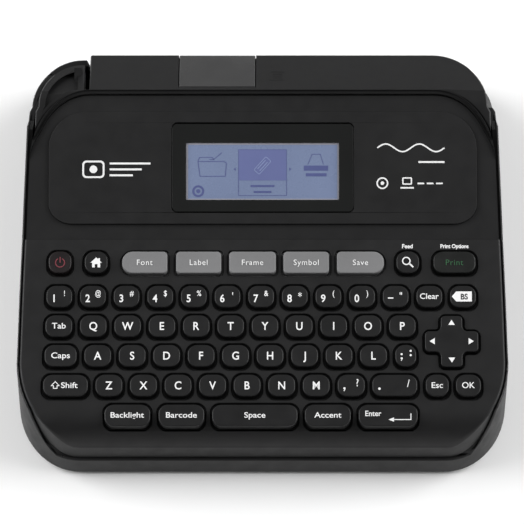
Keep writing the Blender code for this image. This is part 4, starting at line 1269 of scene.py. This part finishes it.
def make_lcd():
    """The display's lit face, with a menu drawn in its own segments instead of words."""
    x0, y0, x1, y1 = SCREEN
    face = [rounded(x0 - 1.5, y0 - 1.5, x1 + 1.5, y1 + 1.5, 0.5)]
    stack = [
        prism("lcd_face", face, LCD_LEVEL - 1.2, LCD_LEVEL, DISPLAY),
        prism("lcd_backing", [rounded(-38.0, 8.0, 38.0, 46.0, 1.0)], -9.2, -7.0, DISPLAY),
        box("lcd_block", (-32.0, 14.0, -7.2), (32.0, 41.0, LCD_LEVEL - 1.0), DISPLAY),
    ]
    done(merged("lcd_glass", stack), LCD, "case", "lcd_module", slot="lcd_backlight")

    def shown(name, meshes, finish, lift=0.0):
        ink(name, meshes, finish, "case", DISPLAY, LCD_LEVEL + lift)

    border = moulded("lcd_border_ink", (0.27, 0.27, 0.31), 0.4, depth=0.000002, shift=0.06)
    edge = drawn(block(x0, y0, x1, y1), block(x0 + 0.75, y0 + 0.45, x1 - 0.6, y1 - 0.7))
    shown("lcd_border", [edge], border)
    shown("lcd_tile", [drawn(block(-9.2, 22.8, 9.2, 34.7))], TILE_INK)
    lines = [drawn(block(-9.4, 16.8, 9.4, 34.9), block(-9.2, 17.0, 9.2, 34.7))]
    lines += [drawn(block(-4.6, 20.2, 4.6, 21.0)), drawn(block(-3.4, 17.9, 3.4, 18.7))]
    folder = [(-25.0, 30.2), (-15.0, 30.2), (-14.0, 29.6), (-14.4, 24.4), (-24.2, 24.4)]
    lid = [(-25.0, 30.4), (-24.4, 31.8), (-19.5, 31.8), (-18.8, 30.9)]
    tick = [(-20.6, 31.0), (-19.0, 30.9), (-15.8, 33.6)]
    paper = [(17.6, 29.0), (19.2, 33.0), (22.4, 33.0), (23.6, 29.0)]
    lines += [drawn(*stroke(folder, 0.28, True)), drawn(*stroke(lid, 0.26)), drawn(*stroke(tick, 0.26))]
    lines += [drawn([(side * 11.2, 27.2), (side * 10.4, 27.8), (side * 10.4, 26.6)]) for side in (-1, 1)]
    lines += [drawn(block(16.0, 26.6, 25.4, 28.6)), drawn(block(16.8, 24.4, 24.8, 25.6))]
    lines.append(drawn(*stroke(paper, 0.24)))
    lines.append(drawn(*(circle((-24.9, 18.6), radius) for radius in (2.3, 1.5))))
    lines.append(drawn(circle((-24.9, 18.6), 0.8)))
    shown("lcd_lines", lines, BLUE_INK)
    turn = Matrix.Rotation(math.radians(48), 2)

    def tagged(points):
        return [tuple(turn @ Vector(p) + Vector((0.0, 28.6))) for p in points]

    tag = [drawn(tagged(rounded(-3.6, -1.5, 3.6, 1.5, 0.6)), tagged(rounded(-3.3, -1.2, 3.3, 1.2, 0.4)))]
    tag += [drawn(tagged(block(-2.3, y, 2.3, y + 0.4))) for y in (-0.75, 0.35)]
    shown("lcd_tag", tag, PALE_INK, 0.05)


# Underside, ports and the carried-over mechanism


def make_underside():
    (x0, y0), (x1, y1) = HATCH
    lid = box("battery_lid", (x0 + GAP, y0 + GAP, 2.0), (x1 - GAP, y1 - GAP, 4.0))
    boolean(lid, box("thumb_grip", (-8.0, -60.0, 1.0), (8.0, -57.0, 2.7)))
    for i in range(9):
        x = -32.0 + 8.0 * i
        boolean(lid, box("lid_rib_gap", (x - 0.6, -50.0, 1.0), (x + 0.6, -16.0, 2.4)))
    round_edges(lid, 0.22, 2)
    done(lid, CASE, "case", "battery_cover", slot="case_plastic")
    for name, y in FEET.items():
        strip = prism(name + "_pad", [rounded(-62.0, y - 4.0, 62.0, y + 4.0, 4.0, 10)], 0, CASE_BOTTOM - GAP)
        for i in range(3):
            boolean(strip, box("groove", (-57.0, y - 2.3 + 2.0 * i, -1), (57.0, y - 1.7 + 2.0 * i, 0.35)))
        round_edges(strip, 0.22, 2)
        done(strip, RUBBER, "case", name, slot="rubber")
    for index, at in enumerate(SCREWS, 1):
        head = cylinder("screw_head", at, 2.3, 4.1, 2.4, sides=40)
        boolean(head, box("slot", (at[0] - 1.6, at[1] - 0.28, 2.0), (at[0] + 1.6, at[1] + 0.28, 3.1)))
        boolean(head, box("slot", (at[0] - 0.28, at[1] - 1.6, 2.0), (at[0] + 0.28, at[1] + 1.6, 3.1)))
        round_edges(head, 0.2, 2)
        shank = cylinder("screw_shank", at, 3.8, 18.0, 1.3, sides=32)
        done(merged(f"screw_{index}", [head, shank]), STEEL, "case", f"case_screw_{index}", slot="steel")


def make_ports():
    body = box("inlet_body", (78.0, -13.5, 6.5), (88.4, -2.5, 18.0))
    boolean(body, cylinder("inlet_collar", INLET_AT, 88, 93.4, 3.6, SIDE), "UNION")
    boolean(body, cylinder("inlet_bore", INLET_AT, 82, 95, 2.7, SIDE))
    round_edges(body, 0.25, 2)
    boolean(body, cylinder("inlet_pin", INLET_AT, 81, 92.4, 0.8, SIDE), "UNION")
    done(body, CASE, "case", "dc_inlet", slot="case_plastic")
    shell = prism("usb_shell", [rounded(-30.6, 11.0, -23.0, 14.2, 0.7)], 82.0, 93.2, SIDE)
    boolean(shell, prism("usb_slot", [rounded(-29.9, 11.6, -23.7, 13.6, 0.4)], 86.0, 95.0, SIDE))
    round_edges(shell, 0.12, 2)
    boolean(shell, box("usb_tongue", (85.0, -29.0, 12.3), (92.0, -24.6, 12.9)), "UNION")
    done(shell, STEEL, "case", "usb_port", slot="steel")


CARRIED = {
    "key_mat": RUBBER,
    "main_board": BOARD,
    "chassis": GREY_PLASTIC,
    "print_head": STEEL,
    "feed_motor": STEEL,
    "tape_cassette": GREY_PLASTIC,
    "batteries": BATTERY,
    "cutter_blade": STEEL,
    "roller_holder": GREY_PLASTIC,
    "platen_roller": RUBBER,
    "platen_gear": WHITE_GEAR,
    "idler_gear": WHITE_GEAR,
    "motor_pinion": STEEL,
    "ribbon_spindle": WHITE_GEAR,
}


def paint_carried_nodes():
    """The mechanism keeps its CAD shapes and only gets its finishes."""
    for name, finish in CARRIED.items():
        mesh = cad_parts[name].data
        mesh.materials.clear()
        mesh.materials.append(finish)


add_camera()
add_stage()
make_base_case()
make_keyboard_housing()
make_display_housing()
make_fascia()
make_tape_cover()
make_window()
make_latch()
make_cutter_lever()
make_keys()
make_pad()
make_legends()
make_marks()
make_lcd()
make_underside()
make_ports()
paint_carried_nodes()
